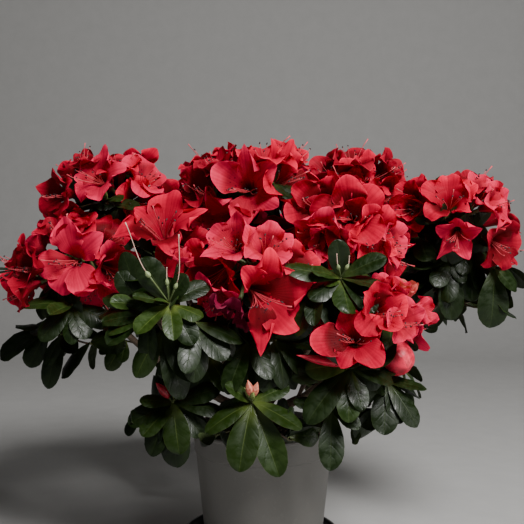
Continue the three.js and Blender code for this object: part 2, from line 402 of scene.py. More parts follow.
def make_piece(name, heap, material, stands_for=()):
    """Turns a heap into a smooth piece that rides on the plant."""
    points = np.concatenate(heap.points).astype(np.float32)
    faces = np.concatenate(heap.faces).astype(np.int32)
    places = np.concatenate(heap.places).astype(np.float32)
    mesh = bpy.data.meshes.new(name)
    mesh.vertices.add(len(points))
    mesh.vertices.foreach_set("co", points.ravel())
    mesh.loops.add(faces.size)
    mesh.loops.foreach_set("vertex_index", faces.ravel())
    mesh.polygons.add(len(faces))
    mesh.polygons.foreach_set("loop_start", np.arange(0, faces.size, 4, dtype=np.int32))
    mesh.polygons.foreach_set("use_smooth", np.ones(len(faces), bool))
    mesh.update(calc_edges=True)
    layer = mesh.uv_layers.new(name="OFBake")
    layer.data.foreach_set("uv", places[faces.ravel()].ravel())
    mesh.materials.append(material)
    piece = bpy.data.objects.new(name, mesh)
    bpy.context.scene.collection.objects.link(piece)
    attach(piece, "root")
    if stands_for:
        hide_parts(*stands_for)
    print(name, "triangles:", 2 * len(faces))
    return piece


# %% Tubes along paths
def tube_points(paths, radii, sides):
    """Rings of points round each path. Paths are (tubes, rings, 3), and radii (tubes, rings)."""
    tangents = unit(np.gradient(paths, axis=1))
    side = squared_to(SKEW, tangents[:, 0])
    firsts = []
    for ring in range(paths.shape[1]):
        side = squared_to(side, tangents[:, ring])
        firsts.append(side)
    firsts = np.stack(firsts, axis=1)
    seconds = np.cross(tangents, firsts)
    angle = 2 * math.pi * np.arange(sides) / sides
    around = np.cos(angle)[:, None] * firsts[:, :, None] + np.sin(angle)[:, None] * seconds[:, :, None]
    return paths[:, :, None] + radii[:, :, None, None] * around


def tube_places(rings, sides):
    """Map places of a tube: round it and back, so that no seam shows, and from its foot to its tip."""
    around = 1 - np.abs(1 - 2 * np.arange(sides) / sides)
    along = np.linspace(0, 1, rings)
    return np.stack(np.broadcast_arrays(around[None, :], along[:, None]), axis=-1).reshape(-1, 2)


def add_tubes(heap, paths, radii, sides):
    """Adds closed tubes along paths to a heap. Radii are one row for each path, or one row for them all."""
    paths = np.asarray(paths)
    count, rings = paths.shape[:2]
    radii = np.broadcast_to(radii, (count, rings))
    points = tube_points(paths, radii, sides).reshape(count, -1, 3)
    heap.add(points, tube_faces(rings, sides), tube_places(rings, sides))


def bezier(first, second, third, fourth, steps):
    """Points along cubic curves whose corners are (curves, 3) each."""
    share = np.linspace(0, 1, steps)[None, :, None]
    rest = 1 - share
    corners = [corner[:, None] for corner in (first, second, third, fourth)]
    weights = (rest**3, 3 * rest**2 * share, 3 * rest * share**2, share**3)
    return sum(weight * corner for weight, corner in zip(weights, corners))


def one_bezier(corners, steps):
    """Points along one cubic curve with four corners."""
    return bezier(*[np.asarray(corner)[None] for corner in corners], steps)[0]


# %% [markdown]
# ## Pot and saucer
#
# Both are turned shapes in plain plastic. A lathe in code spins one outline round the axis with enough steps
# to look round. The outline is the pot's wall, read from the frame's box: a tapering wall, a straight collar
# below the rim, a rolled lip and a thin floor.

# %% A lathe
ROUNDS = 160


def lathe(heap, outline, centre):
    """Spins an outline of (radius, height) points that starts and ends near the axis."""
    outline = np.asarray(outline, float)
    angle = 2 * math.pi * np.arange(ROUNDS) / ROUNDS
    spun = np.stack(
        [
            centre[0] + outline[:, None, 0] * np.cos(angle),
            centre[1] + outline[:, None, 0] * np.sin(angle),
            np.broadcast_to(outline[:, None, 1], (len(outline), ROUNDS)),
        ],
        axis=-1,
    )
    faces = tube_faces(len(outline), ROUNDS)
    heap.add(spun.reshape(1, -1, 3), faces, tube_places(len(outline), ROUNDS))


def rounded(corner_list, steps=5):
    """Replaces each (radius, height, bevel) corner by a small arc that leaves and meets both edges."""
    points = []
    for i, (radius, height, bevel) in enumerate(corner_list):
        here = np.array([radius, height], float)
        if bevel == 0:
            points.append(here)
            continue
        before = np.array(corner_list[i - 1][:2], float)
        after = np.array(corner_list[i + 1][:2], float)
        start = here + unit(before - here) * min(bevel, 0.45 * np.linalg.norm(before - here))
        end = here + unit(after - here) * min(bevel, 0.45 * np.linalg.norm(after - here))
        for share in np.linspace(0, 1, steps):
            points.append((1 - share) ** 2 * start + 2 * share * (1 - share) * here + share**2 * end)
    return points


def subdivided(points, longest):
    """Adds points so that no step of the outline is longer than this."""
    dense = [points[0]]
    for first, second in zip(points[:-1], points[1:]):
        count = max(1, math.ceil(np.linalg.norm(second - first) / longest))
        dense += [first + (second - first) * k / count for k in range(1, count + 1)]
    return dense


# %% Pot outline
pot_low, pot_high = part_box("pot")
pot_centre = (pot_low + pot_high) / 2
rim_radius = (pot_high.x - pot_low.x) / 2
rim_top = pot_high.z
pot_foot = pot_low.z
BASE_SHARE = 104 / 130
foot_radius = rim_radius * BASE_SHARE
WALL = 1.6 * MM
POT_FLOOR = 2.2 * MM
COLLAR = 20.5 * MM
COLLAR_STEP = 0.7 * MM
LIP = 2.6 * MM
AXIS = 0.02 * MM
LONGEST_STEP = 6 * MM
collar_low = rim_top - COLLAR
collar_radius = rim_radius - 1.0 * MM
wall_top_radius = collar_radius - COLLAR_STEP - 1.1 * MM

pot_outline = rounded([
    (AXIS, pot_foot + 1.2 * MM, 0),
    (foot_radius - 9 * MM, pot_foot + 1.2 * MM, 0.8 * MM),
    (foot_radius - 7 * MM, pot_foot, 0.8 * MM),
    (foot_radius, pot_foot, 1.4 * MM),
    (wall_top_radius, collar_low - 0.9 * MM, 0.5 * MM),
    (collar_radius - 0.4 * MM, collar_low, 0.4 * MM),
    (collar_radius, rim_top - 3.6 * MM, 0.5 * MM),
    (rim_radius, rim_top - 3.0 * MM, 0.7 * MM),
    (rim_radius, rim_top, 1.2 * MM),
    (rim_radius - LIP, rim_top, 1.1 * MM),
    (rim_radius - LIP - 0.5 * MM, rim_top - 4 * MM, 0.6 * MM),
    (wall_top_radius - WALL, collar_low, 1.0 * MM),
    (foot_radius - WALL, pot_foot + POT_FLOOR, 1.5 * MM),
    (AXIS, pot_foot + POT_FLOOR, 0),
])
pot_heap = Heap()
lathe(pot_heap, subdivided(pot_outline, LONGEST_STEP), pot_centre)
print("pot width and height, mm:", round(2 * rim_radius / MM, 1), round((rim_top - pot_foot) / MM, 1))

# %% Saucer outline
saucer_low, saucer_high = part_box("saucer")
saucer_centre = (saucer_low + saucer_high) / 2
saucer_radius = (saucer_high.x - saucer_low.x) / 2
SAUCER_FOOT_SHARE = 116 / 146
SAUCER_FLOOR = 2.5 * MM
saucer_foot_radius = saucer_radius * SAUCER_FOOT_SHARE
saucer_outline = rounded([
    (AXIS, saucer_low.z, 0),
    (saucer_foot_radius, saucer_low.z, 1.5 * MM),
    (saucer_radius - 1.6 * MM, saucer_high.z - 2.4 * MM, 0.5 * MM),
    (saucer_radius, saucer_high.z - 2.0 * MM, 0.6 * MM),
    (saucer_radius, saucer_high.z, 0.8 * MM),
    (saucer_radius - 2.4 * MM, saucer_high.z, 0.8 * MM),
    (saucer_radius - 3.0 * MM, saucer_high.z - 2.6 * MM, 0.6 * MM),
    (saucer_foot_radius - 1.4 * MM, saucer_low.z + SAUCER_FLOOR, 2.5 * MM),
    (AXIS, saucer_low.z + SAUCER_FLOOR, 0),
])
saucer_heap = Heap()
lathe(saucer_heap, subdivided(saucer_outline, LONGEST_STEP), saucer_centre)
print("saucer width, mm:", round(2 * saucer_radius / MM, 1))

# %% Plastic finishes
def plastic(name, colour, dusty, roughness, grain_scale):
    """Moulded plastic with a faint grain, soft dust and a roughness that wanders."""
    material, g, shader = new_material(name)
    place = g.on_object()
    dust = g.use(dust_group, Place=place, Scale=16.0, Amount=0.55)["Dust"]
    moulded = grain(g, place, grain_scale, 0.7)
    g.feed(shader, {
        "Base Color": g.mix(dust, g.mix(moulded, shade(colour, 0.88), colour), dusty),
        "Roughness": g.math("ADD", g.times(dust, 0.25), roughness),
        "Normal": g.bump(moulded, 0.12, 0.0004),
    })
    return material


pot_plastic = plastic("pot_plastic", (0.128, 0.123, 0.113), (0.165, 0.160, 0.148), 0.42, 900.0)
saucer_plastic = plastic("saucer_plastic", (0.010, 0.010, 0.011), (0.035, 0.034, 0.032), 0.34, 1100.0)

# %% Drain holes and the two pieces
DRAINS = 4
DRAIN_WIDTH = 9 * MM
DRAIN_RING = 34 * MM
DRAIN_SIDES = 24


def drain_cutter():
    """Upright pins that stand where the holes in the pot's floor go."""
    heap = Heap()
    for k in range(DRAINS):
        angle = 2 * math.pi * (k + 0.5) / DRAINS
        x = pot_centre.x + DRAIN_RING * math.cos(angle)
        y = pot_centre.y + DRAIN_RING * math.sin(angle)
        pin = [[x, y, pot_foot - 4 * MM], [x, y, pot_foot + 8 * MM]]
        add_tubes(heap, [pin], DRAIN_WIDTH / 2, DRAIN_SIDES)
    mesh = bpy.data.meshes.new("drain_cutter")
    mesh.from_pydata(np.concatenate(heap.points).tolist(), [], np.concatenate(heap.faces).tolist())
    cutter = bpy.data.objects.new("drain_cutter", mesh)
    bpy.context.scene.collection.objects.link(cutter)
    return cutter


def cut_away(piece, cutter):
    """Cuts one object out of another, and removes the cutter."""
    tool = piece.modifiers.new("cut", "BOOLEAN")
    tool.operation = "DIFFERENCE"
    tool.solver = "EXACT"
    tool.object = cutter
    bpy.context.view_layer.update()
    shaped = bpy.data.meshes.new_from_object(piece.evaluated_get(bpy.context.evaluated_depsgraph_get()))
    piece.modifiers.clear()
    piece.data = shaped
    bpy.data.objects.remove(cutter)


pot = make_piece("pot_shell", pot_heap, pot_plastic, ["pot"])
cut_away(pot, drain_cutter())
make_piece("saucer_dish", saucer_heap, saucer_plastic, ["saucer"])

# %% [markdown]
# ## Root ball
#
# Peat is dark, crumbly and full of fibres. A turned body carries an uneven top, and loose crumbs, a few pale
# grains and bent fibres lie on it. The surface colour is mixed from two scales of noise.

# %% Peat body
ball_low, ball_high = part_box("root_ball")
ball_top_radius = (ball_high.x - ball_low.x) / 2
ball_foot_radius = foot_radius - WALL - 0.6 * MM
peat_level = ball_high.z - 2.2 * MM


def peat_height(x, y):
    """The uneven top of the peat."""
    slow = noise.noise(Vector((x * 45, y * 45, 3.1)))
    quick = noise.noise(Vector((x * 210, y * 210, 7.7)))
    fine = noise.noise(Vector((x * 640, y * 640, 1.9)))
    return (1.9 * slow + 1.0 * quick + 0.45 * fine) * MM


peat_foot = ball_low.z
peat_widening, peat_rise = ball_top_radius - ball_foot_radius, peat_level - 2 * MM - peat_foot
peat_outline = [
    (AXIS, peat_foot), (ball_foot_radius * 0.5, peat_foot), (ball_foot_radius, peat_foot + 0.4 * MM),
]
for share in np.linspace(0.05, 1, 24):
    peat_outline.append((ball_foot_radius + peat_widening * share, peat_foot + peat_rise * share))
for share in np.linspace(1, 0, 42)[:-1]:
    peat_outline.append((share * (ball_top_radius - 0.8 * MM), peat_level))
peat_outline.append((AXIS, peat_level))
peat_heap = Heap()
lathe(peat_heap, peat_outline, (ball_low + ball_high) / 2)
for point in peat_heap.points[0]:
    if point[2] > peat_level - 0.1 * MM:
        point[2] += peat_height(point[0], point[1])
print("peat level below the rim, mm:", round((rim_top - peat_level) / MM, 1))

# %% Peat, crumb and fibre finishes
def crumbly(name, dark, light, scale, roughness):
    """An earthy surface of two mixed colours with a strong small relief."""
    material, g, shader = new_material(name)
    place = g.on_object()
    patches = grain(g, place, scale, 0.75)
    specks = g.spread(grain(g, place, scale * 5, 0.6), 0.62, 0.7)
    g.feed(shader, {
        "Base Color": g.mix(specks, mottled(g, patches, dark, light), shade(light, 1.8)),
        "Roughness": roughness,
        "Normal": g.bump(patches, 0.8, 0.0012),
    })
    return material


peat = crumbly("peat", (0.012, 0.008, 0.005), (0.045, 0.028, 0.017), 300.0, 0.95)
crumb_peat = crumbly("crumb_peat", (0.016, 0.010, 0.006), (0.060, 0.038, 0.022), 500.0, 0.95)
fibre_straw = crumbly("fibre_straw", (0.10, 0.060, 0.030), (0.22, 0.15, 0.08), 600.0, 0.8)
grain_pale = crumbly("grain_pale", (0.42, 0.36, 0.24), (0.62, 0.56, 0.42), 700.0, 0.7)
bead_ochre = crumbly("bead_ochre", (0.26, 0.13, 0.025), (0.42, 0.24, 0.055), 500.0, 0.6)

make_piece("root_ball_peat", peat_heap, peat, ["root_ball"])

# %% Crumbs, pale grains and fibres
def lump_shape():
    """A rounded box of 24 faces: its points and its faces."""
    cell = np.linspace(-1, 1, 3)
    points, faces, seen = [], [], {}
    for axis in range(3):
        for end in (-1, 1):
            for i in range(2):
                for j in range(2):
                    corners = []
                    for a, b in ((i, j), (i + 1, j), (i + 1, j + 1), (i, j + 1)):
                        spot = [0.0, 0.0, 0.0]
                        spot[axis] = float(end)
                        spot[(axis + 1) % 3] = cell[a]
                        spot[(axis + 2) % 3] = cell[b]
                        key = tuple(spot)
                        if key not in seen:
                            seen[key] = len(points)
                            points.append(spot)
                        corners.append(seen[key])
                    faces.append(corners if end > 0 else corners[::-1])
    return unit(np.array(points)), np.array(faces)


LUMP_POINTS, LUMP_FACES = lump_shape()


def scatter_lumps(heap, count, small, large, rng):
    """Lays uneven lumps on the peat."""
    reach = (ball_top_radius - 3 * MM) * np.sqrt(rng.random(count))
    turn = rng.random(count) * 2 * math.pi
    x = pot_centre.x + reach * np.cos(turn)
    y = pot_centre.y + reach * np.sin(turn)
    size = small + (large - small) * rng.random(count) ** 2
    z = np.array([peat_level + peat_height(a, b) for a, b in zip(x, y)]) + 0.25 * size
    stretch = 0.6 + 0.7 * rng.random((count, 1, 3))
    bumps = 1 + 0.22 * rng.standard_normal((count, len(LUMP_POINTS), 1)).clip(-1.5, 1.5)
    shapes = LUMP_POINTS[None] * stretch * bumps * size[:, None, None] / 2
    heap.add(shapes + np.stack([x, y, z], 1)[:, None], LUMP_FACES, np.zeros((len(LUMP_POINTS), 2)))


soil_rng = np.random.default_rng(11)
CRUMBS, PALE_GRAINS, FIBRES = 900, 34, 120
FIBRE_STEPS, FIBRE_RADIUS = 8, 0.22 * MM
crumbs = Heap()
scatter_lumps(crumbs, CRUMBS, 1.0 * MM, 4.2 * MM, soil_rng)
make_piece("peat_crumbs", crumbs, crumb_peat)
grains = Heap()
scatter_lumps(grains, PALE_GRAINS, 1.6 * MM, 3.2 * MM, soil_rng)
make_piece("pale_grains", grains, grain_pale)

BEAD_PLACE = (34 * MM, -4 * MM)
BEAD_SIZE = np.array([3.6, 2.6, 3.0]) * MM
bead_height = peat_level + peat_height(*BEAD_PLACE) + 2 * MM
bead = Heap()
bead_shape = LUMP_POINTS[None] * BEAD_SIZE
bead_shape = bead_shape * (1 + 0.06 * soil_rng.standard_normal((1, len(LUMP_POINTS), 1)))
bead.add(bead_shape + np.array([*BEAD_PLACE, bead_height]), LUMP_FACES, np.zeros((len(LUMP_POINTS), 2)))
make_piece("feed_bead", bead, bead_ochre)

fibres = Heap()
reach = (ball_top_radius - 6 * MM) * np.sqrt(soil_rng.random(FIBRES))
turn = soil_rng.random(FIBRES) * 2 * math.pi
middle = np.stack([pot_centre.x + reach * np.cos(turn), pot_centre.y + reach * np.sin(turn)], 1)
way = heading(soil_rng.random(FIBRES) * 360, 0)
span = (5 + 14 * soil_rng.random(FIBRES))[:, None] * MM
bend = squared_to(UP, way)
aside_way = np.cross(way, bend)
corners = []
for share, lift in ((-0.5, 0.2), (-0.2, 1.4), (0.2, 1.8), (0.5, 0.3)):
    spot = np.zeros((FIBRES, 3))
    spot[:, :2] = middle
    spot += way * span * share + aside_way * span * 0.2 * soil_rng.standard_normal((FIBRES, 1))
    spot[:, 2] = [peat_level + peat_height(a, b) + lift * MM for a, b in spot[:, :2]]
    corners.append(spot)
add_tubes(fibres, bezier(*corners, FIBRE_STEPS), FIBRE_RADIUS, 4)
make_piece("peat_fibres", fibres, fibre_straw)

# %% [markdown]
# ## Stem and boughs
#
# The frame's limbs are plain tapering solids. Their centre lines and thicknesses are read by slicing each
# solid across its length, so the bark follows the CAD. The bark's relief is real geometry: low ridges along
# the limb, small cracks and a slow swelling.

# %% Read a limb from its solid
CUTS = 9


def read_limb(node):
    """The centre line and the radii of a bough, from foot to tip, in metres."""
    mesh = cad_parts[node].data
    points = np.array([vertex.co for vertex in mesh.vertices])
    pairs = np.array([edge.vertices[:] for edge in mesh.edges])
    first = points[np.linalg.norm(points - points.mean(0), axis=1).argmax()]
    second = points[np.linalg.norm(points - first, axis=1).argmax()]
    level = (points - first) @ unit(second - first)
    centres, radii = [], []
    for share in np.linspace(0.05, 0.95, CUTS):
        cut = share * level.max()
        ends = level[pairs] - cut
        crossing = ends[:, 0] * ends[:, 1] < 0
        weight = (ends[crossing, 0] / (ends[crossing, 0] - ends[crossing, 1]))[:, None]
        a, b = points[pairs[crossing, 0]], points[pairs[crossing, 1]]
        ring = a + (b - a) * weight
        centre = (ring.min(0) + ring.max(0)) / 2
        centres.append(centre)
        radii.append(np.linalg.norm(ring - centre, axis=1).min())
    centres, radii = np.array(centres), np.array(radii)
    if radii[:2].mean() < radii[-2:].mean():
        centres, radii = centres[::-1], radii[::-1]
    return centres, radii


def smooth_path(points, steps):
    """A Catmull-Rom curve through the points, in even steps."""
    padded = np.concatenate([[2 * points[0] - points[1]], points, [2 * points[-1] - points[-2]]])
    share = np.linspace(0, len(points) - 1, steps)
    start = np.minimum(share.astype(int), len(points) - 2)
    t = (share - start)[:, None]
    a, b, c, d = (padded[start + k] for k in range(4))
    return 0.5 * (2 * b + (c - a) * t + (2 * a - 5 * b + 4 * c - d) * t**2 + (3 * b - a - 3 * c + d) * t**3)


# %% Grow the bark
BARK_RINGS = 72
BARK_SIDES = 18
BARK_RELIEF = 0.14
LIMB_SEED, STEM_SEED = 3.7, 99.0
FOOT_BURIED, TIP_BURIED = 9 * MM, 14 * MM
bough_nodes = sorted(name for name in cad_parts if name.startswith("bough_"))
stem_low, stem_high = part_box("stem")
stem_foot = np.array([(stem_low.x + stem_high.x) / 2, (stem_low.y + stem_high.y) / 2, stem_low.z])


def bark_tube(heap, path, radii, seed):
    """A limb with ridges, cracks and swellings in its surface."""
    rings = tube_points(path[None], radii[None], BARK_SIDES)[0]
    centre = path[:, None]
    around = np.arange(BARK_SIDES) / BARK_SIDES * 2 * math.pi
    lengths = np.concatenate([[0], np.linalg.norm(np.diff(path, axis=0), axis=1).cumsum()])
    relief = np.empty(rings.shape[:2])
    for i, length in enumerate(lengths):
        for k, angle in enumerate(around):
            ridge = noise.noise(Vector((2.2 * math.cos(angle), 2.2 * math.sin(angle), length * 90 + seed)))
            crack = noise.noise(Vector((5 * math.cos(angle), 5 * math.sin(angle), length * 260 + seed)))
            swell = noise.noise(Vector((seed, 0.4, length * 60)))
            relief[i, k] = 1 + BARK_RELIEF * (1.1 * ridge + 0.9 * crack + 0.8 * swell)
    points = centre + (rings - centre) * relief[:, :, None]
    heap.add(points.reshape(1, -1, 3), tube_faces(len(path), BARK_SIDES), tube_places(len(path), BARK_SIDES))


bark_heap = Heap()
limbs = {}
for number, node in enumerate(bough_nodes):
    centres, radii = read_limb(node)
    back = centres[0] - unit(centres[1] - centres[0]) * FOOT_BURIED
    ahead = centres[-1] + unit(centres[-1] - centres[-2]) * TIP_BURIED
    line = np.concatenate([[back], centres, [ahead]])
    widths = np.concatenate([[radii[0] * 1.08], radii, [radii[-1] * 0.8]])
    path = smooth_path(line, BARK_RINGS)
    radius = np.interp(np.linspace(0, len(widths) - 1, BARK_RINGS), np.arange(len(widths)), widths)
    limbs[node] = (path, radius)
    bark_tube(bark_heap, path, radius, LIMB_SEED * number)

STEM_STEPS = 40
stem_rise = np.linspace(-7 * MM, stem_high.z - stem_low.z + 3 * MM, STEM_STEPS)
stem_path = stem_foot + np.stack([1.2 * MM * np.sin(stem_rise * 160), 0 * stem_rise, stem_rise], 1)
STEM_RADIUS, STEM_FLARE = 9 * MM, 3.6 * MM
stem_radius = STEM_RADIUS + STEM_FLARE * np.exp(-np.maximum(stem_rise, 0) / (5 * MM))
stem_radius *= 1 - 0.45 * ease((stem_rise - stem_rise[-1] + 8 * MM) / (8 * MM))
bark_tube(bark_heap, stem_path, stem_radius, STEM_SEED)
print("limbs read:", len(limbs))

# %% Bark finish
def bark_material(name, dark, light, green):
    """Brown bark with pale corky flecks, greener where the wood is young."""
    material, g, shader = new_material(name)
    place = g.on_object()
    coarse = grain(g, place, 260.0, 0.7)
    flecks = g.spread(grain(g, place, 1200.0, 0.6), 0.60, 0.70)
    body = g.mix(g.times(flecks, 0.5), mottled(g, coarse, dark, light), shade(light, 1.7))
    along = g.node("ShaderNodeSeparateXYZ", {"Vector": g.on_map()}).outputs["Y"]
    young = g.times(g.spread(along, 0.35, 1.0), 0.9)
    g.feed(shader, {
        "Base Color": g.mix(young, body, green), "Roughness": 0.75, "Normal": g.bump(coarse, 0.5, 0.0006),
    })
    return material


limb_bark = bark_material("limb_bark", (0.050, 0.030, 0.019), (0.13, 0.085, 0.055), (0.085, 0.060, 0.036))
twig_bark = bark_material("twig_bark", (0.045, 0.028, 0.018), (0.10, 0.062, 0.035), (0.10, 0.115, 0.035))
make_piece("bark_of_limbs", bark_heap, limb_bark, bough_nodes + ["stem"])

# %% [markdown]
# ## Where flowers and shoots stand
#
# A flower is placed on a mass by a direction from the mass's middle: the ray's way out of the CAD solid is
# where the flower's mouth goes. The front of the plant is laid out one by one, so that the large blooms turn
# the way the real ones do. A seeded rule fills the back and the sides just as densely.

# %% The masses
mass_nodes = sorted(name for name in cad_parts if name.startswith("mass_"))
petal_masses = [f"mass_{name}" for name in (
    "centre_top centre_front left_mid upper_left left_wing left_back right_mid upper_right right_wing "
    "right_front back_top back_left back_right back"
).split()]
leaf_masses = [name for name in mass_nodes if name not in petal_masses]
HEART = np.array([0, 0.015, 0.205])


def read_mass(node):
    """A mass's middle, half sizes and a tree that finds where a ray leaves it."""
    low, high = (np.array(corner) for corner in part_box(node))
    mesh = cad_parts[node].data
    tree = BVHTree.FromPolygons(
        [vertex.co[:] for vertex in mesh.vertices], [face.vertices[:] for face in mesh.polygons]
    )
    return {"middle": (low + high) / 2, "half": (high - low) / 2, "tree": tree}


masses = {node: read_mass(node) for node in mass_nodes}
middles = np.array([masses[node]["middle"] for node in mass_nodes])
halves = np.array([masses[node]["half"] for node in mass_nodes])


def way_out(node, direction):
    """Where a ray from the mass's middle leaves it, and the surface's direction there."""
    mass = masses[node]
    spot, normal, _, _ = mass["tree"].ray_cast(Vector(mass["middle"]), Vector(direction))
    if spot is None:
        return mass["middle"] + direction * mass["half"].min(), direction
    normal = np.array(normal)
    return np.array(spot), normal if normal @ direction > 0 else -normal


def buried(points, own, grow=0.94):
    """True for points that lie inside another mass than their own."""
    away = (points[:, None] - middles[None]) / (halves[None] * grow)
    inside = (away**2).sum(-1) < 1
    inside[:, mass_nodes.index(own)] = False
    return inside.any(1)


# %% The front's flowers, laid out one by one
# Each: turn and lift of its place, turn and lift of its face, width in millimetres, and kind.
BLOOMS = {
    "left_wing": [
        (290, 25, 264, 6, 62, "rose"), (20, 45, 292, 30, 56, "coral"), (335, 10, 312, -8, 58, "rose"),
        (315, -10, 290, -60, 46, "rose"), (240, 15, 212, 5, 48, "crimson"),
        (230, -10, 205, -20, 46, "crimson"), (75, 75, 260, 60, 52, "coral"),
        (270, 60, 255, 70, 48, "crimson"), (205, 20, 190, 25, 44, "crimson"),
    ],
    "upper_left": [
        (230, 0, 222, 5, 52, "crimson"), (200, -25, 215, -15, 52, "coral"), (270, 15, 240, 25, 56, "rose"),
        (300, 35, 285, 62, 52, "coral"), (325, 15, 318, 40, 52, "rose"), (315, -10, 305, 5, 50, "coral"),
        (355, 0, 325, 15, 46, "coral"), (240, 40, 235, 70, 46, "crimson"),
        (235, -35, 240, -25, 44, "crimson"),
    ],
    "left_mid": [(270, 0, 258, 52, 70, "coral"), (300, -30, 300, -20, 50, "crimson")],
    "left_shoot": [(290, 52, 300, 50, 24, "cup")],
    "centre_top": [
        (270, 5, 262, 5, 64, "rose"), (310, 15, 308, 20, 70, "coral"), (240, -35, 238, -18, 68, "rose"),
        (205, 5, 225, 30, 54, "crimson"), (295, 40, 290, 70, 60, "coral"), (220, 35, 220, 60, 50, "crimson"),
        (0, 40, 335, 55, 50, "coral"), (0, -35, 236, -12, 66, "coral"), (190, -20, 215, 5, 50, "crimson"),
    ],
    "centre_front": [
        (275, 5, 298, -8, 72, "coral"), (200, 30, 228, -22, 64, "coral"), (230, 55, 245, 30, 50, "rose"),
        (285, 55, 290, 45, 50, "rose"), (245, -15, 230, -55, 42, "withered"), (205, 0, 225, -50, 50, "rose"),
        (335, 35, 300, 30, 50, "coral"),
    ],
    "right_mid": [
        (270, 15, 262, 12, 64, "coral"), (215, 35, 235, 30, 58, "coral"), (290, -5, 300, -5, 54, "coral"),
        (315, -15, 330, 5, 48, "rose"), (0, -30, 325, -30, 46, "coral"), (240, -10, 238, -25, 60, "rose"),
        (215, 5, 225, 5, 50, "crimson"),
    ],
    "upper_right": [
        (260, 35, 270, 70, 54, "crimson"), (220, 20, 220, 40, 52, "crimson"), (290, 15, 315, 40, 52, "coral"),
        (260, 0, 275, 15, 54, "coral"), (300, -15, 320, 5, 50, "coral"), (320, 20, 330, 30, 46, "crimson"),
    ],
    "right_wing": [
        (250, 13, 262, 38, 56, "coral"), (207, 10, 228, -4, 50, "coral"), (175, -5, 225, -15, 44, "coral"),
        (282, 20, 300, 38, 44, "rose"), (290, 10, 318, 16, 46, "rose"), (256, -16, 256, -22, 44, "rose"),
        (298, -24, 305, -18, 50, "crimson"), (340, -30, 335, -5, 46, "crimson"),
        (280, 38, 285, 66, 42, "crimson"), (192, 24, 220, 35, 44, "coral"),
    ],
    "right_front": [
        (196, 14, 238, 34, 44, "rose"), (248, -2, 262, 22, 57, "coral"), (272, 24, 284, 18, 46, "coral"),
        (298, 14, 304, 8, 40, "rose"), (341, -46, 298, -24, 58, "ball"), (345, 20, 338, 22, 40, "cup"),
        (295, 62, 285, 60, 34, "tube"), (352, 46, 320, 72, 34, "pale"), (330, 52, 320, 55, 30, "tube"),
    ],
}
# Some flowers' lobes are laid out one by one too. Each: its turn in the flower's face from the right side, how
# far it opens in degrees, its length, half width and point in millimetres, and how far its tip curls back in
# degrees. A flower is named by its mass and its row.
LOBES_BY_HAND = {
    ("centre_front", 0): [
        (270, 86, 34, 10.2, 3.2, 4), (318, 78, 31, 15.6, 0.6, -8), (16, 72, 32, 15.0, 2.2, 22),
        (86, 66, 29, 11.0, 0.6, 60), (132, 50, 24, 9.4, 1.0, 70),
    ],
    ("centre_front", 1): [
        (206, 64, 34, 15.0, 0.5, 10), (120, 70, 30, 13.0, 0.0, 40), (268, 78, 28, 11.0, 1.0, 50),
        (20, 50, 26, 12.0, 1.0, 20), (330, 55, 26, 12.0, 1.0, 20),
    ],
    ("centre_top", 2): [
        (184, 74, 33, 14.2, 0.0, 16), (246, 78, 31, 14.0, 1.0, 24), (306, 78, 31, 14.0, 1.0, 20),
        (20, 52, 27, 12.6, 2.0, 30), (112, 50, 27, 12.6, 2.0, 26),
    ],
    ("centre_top", 0): [
        (150, 66, 31, 14.2, 0.5, 12), (92, 58, 32, 12.0, 3.0, 20), (40, 60, 29, 12.4, 1.5, 40),
        (262, 70, 30, 13.0, 1.0, 40), (330, 62, 28, 12.6, 1.0, 30),
    ],
    ("centre_top", 1): [
        (336, 72, 34, 15.4, 1.5, 14), (284, 70, 30, 13.0, 1.0, 30), (70, 52, 30, 12.4, 1.0, 26),
        (118, 50, 30, 12.4, 2.0, 20), (200, 56, 27, 12.6, 1.0, 26),
    ],
    ("centre_top", 7): [
        (190, 70, 36, 14.6, 1.0, 10), (250, 74, 30, 13.0, 1.0, 40), (74, 56, 33, 11.6, 2.0, 24),
        (20, 58, 30, 12.4, 1.0, 20), (320, 62, 28, 12.0, 1.0, 20),
    ],
    ("right_wing", 0): [
        (222, 78, 26, 12.4, 0.0, 62), (152, 66, 27, 12.8, 0.6, 30), (92, 56, 25, 14.0, 0.0, 24),
        (34, 62, 27, 12.4, 1.0, 30), (318, 60, 20, 9.0, 0.6, 40),
    ],
    ("right_front", 1): [
        (188, 78, 34, 14.4, 0.0, 16), (246, 74, 23, 12.0, 1.0, 40), (314, 74, 28, 13.4, 1.0, 20),
        (38, 60, 24, 12.8, 1.0, 30), (108, 58, 22, 13.0, 0.6, 24),
    ],
    ("right_wing", 5): [
        (232, 72, 33, 9.6, 4.0, 16), (296, 74, 29, 12.4, 1.0, 24), (20, 62, 27, 12.0, 2.0, 30),
        (84, 52, 22, 11.6, 1.0, 20), (152, 58, 25, 12.0, 0.6, 24),
    ],
    ("left_wing", 0): [
        (196, 80, 30, 12.6, 0.0, 30), (250, 82, 28, 12.6, 0.0, 30), (300, 78, 30, 12.8, 0.0, 40),
        (100, 70, 32, 14.0, 1.5, 24), (38, 72, 30, 12.8, 1.5, 30),
    ],
    ("left_mid", 0): [
        (200, 74, 33, 12.2, 1.0, 30), (92, 66, 33, 14.0, 0.0, 20), (30, 76, 30, 10.6, 2.0, 34),
        (140, 70, 30, 11.6, 2.0, 30), (300, 84, 24, 11.0, 1.0, 60),
    ],
}
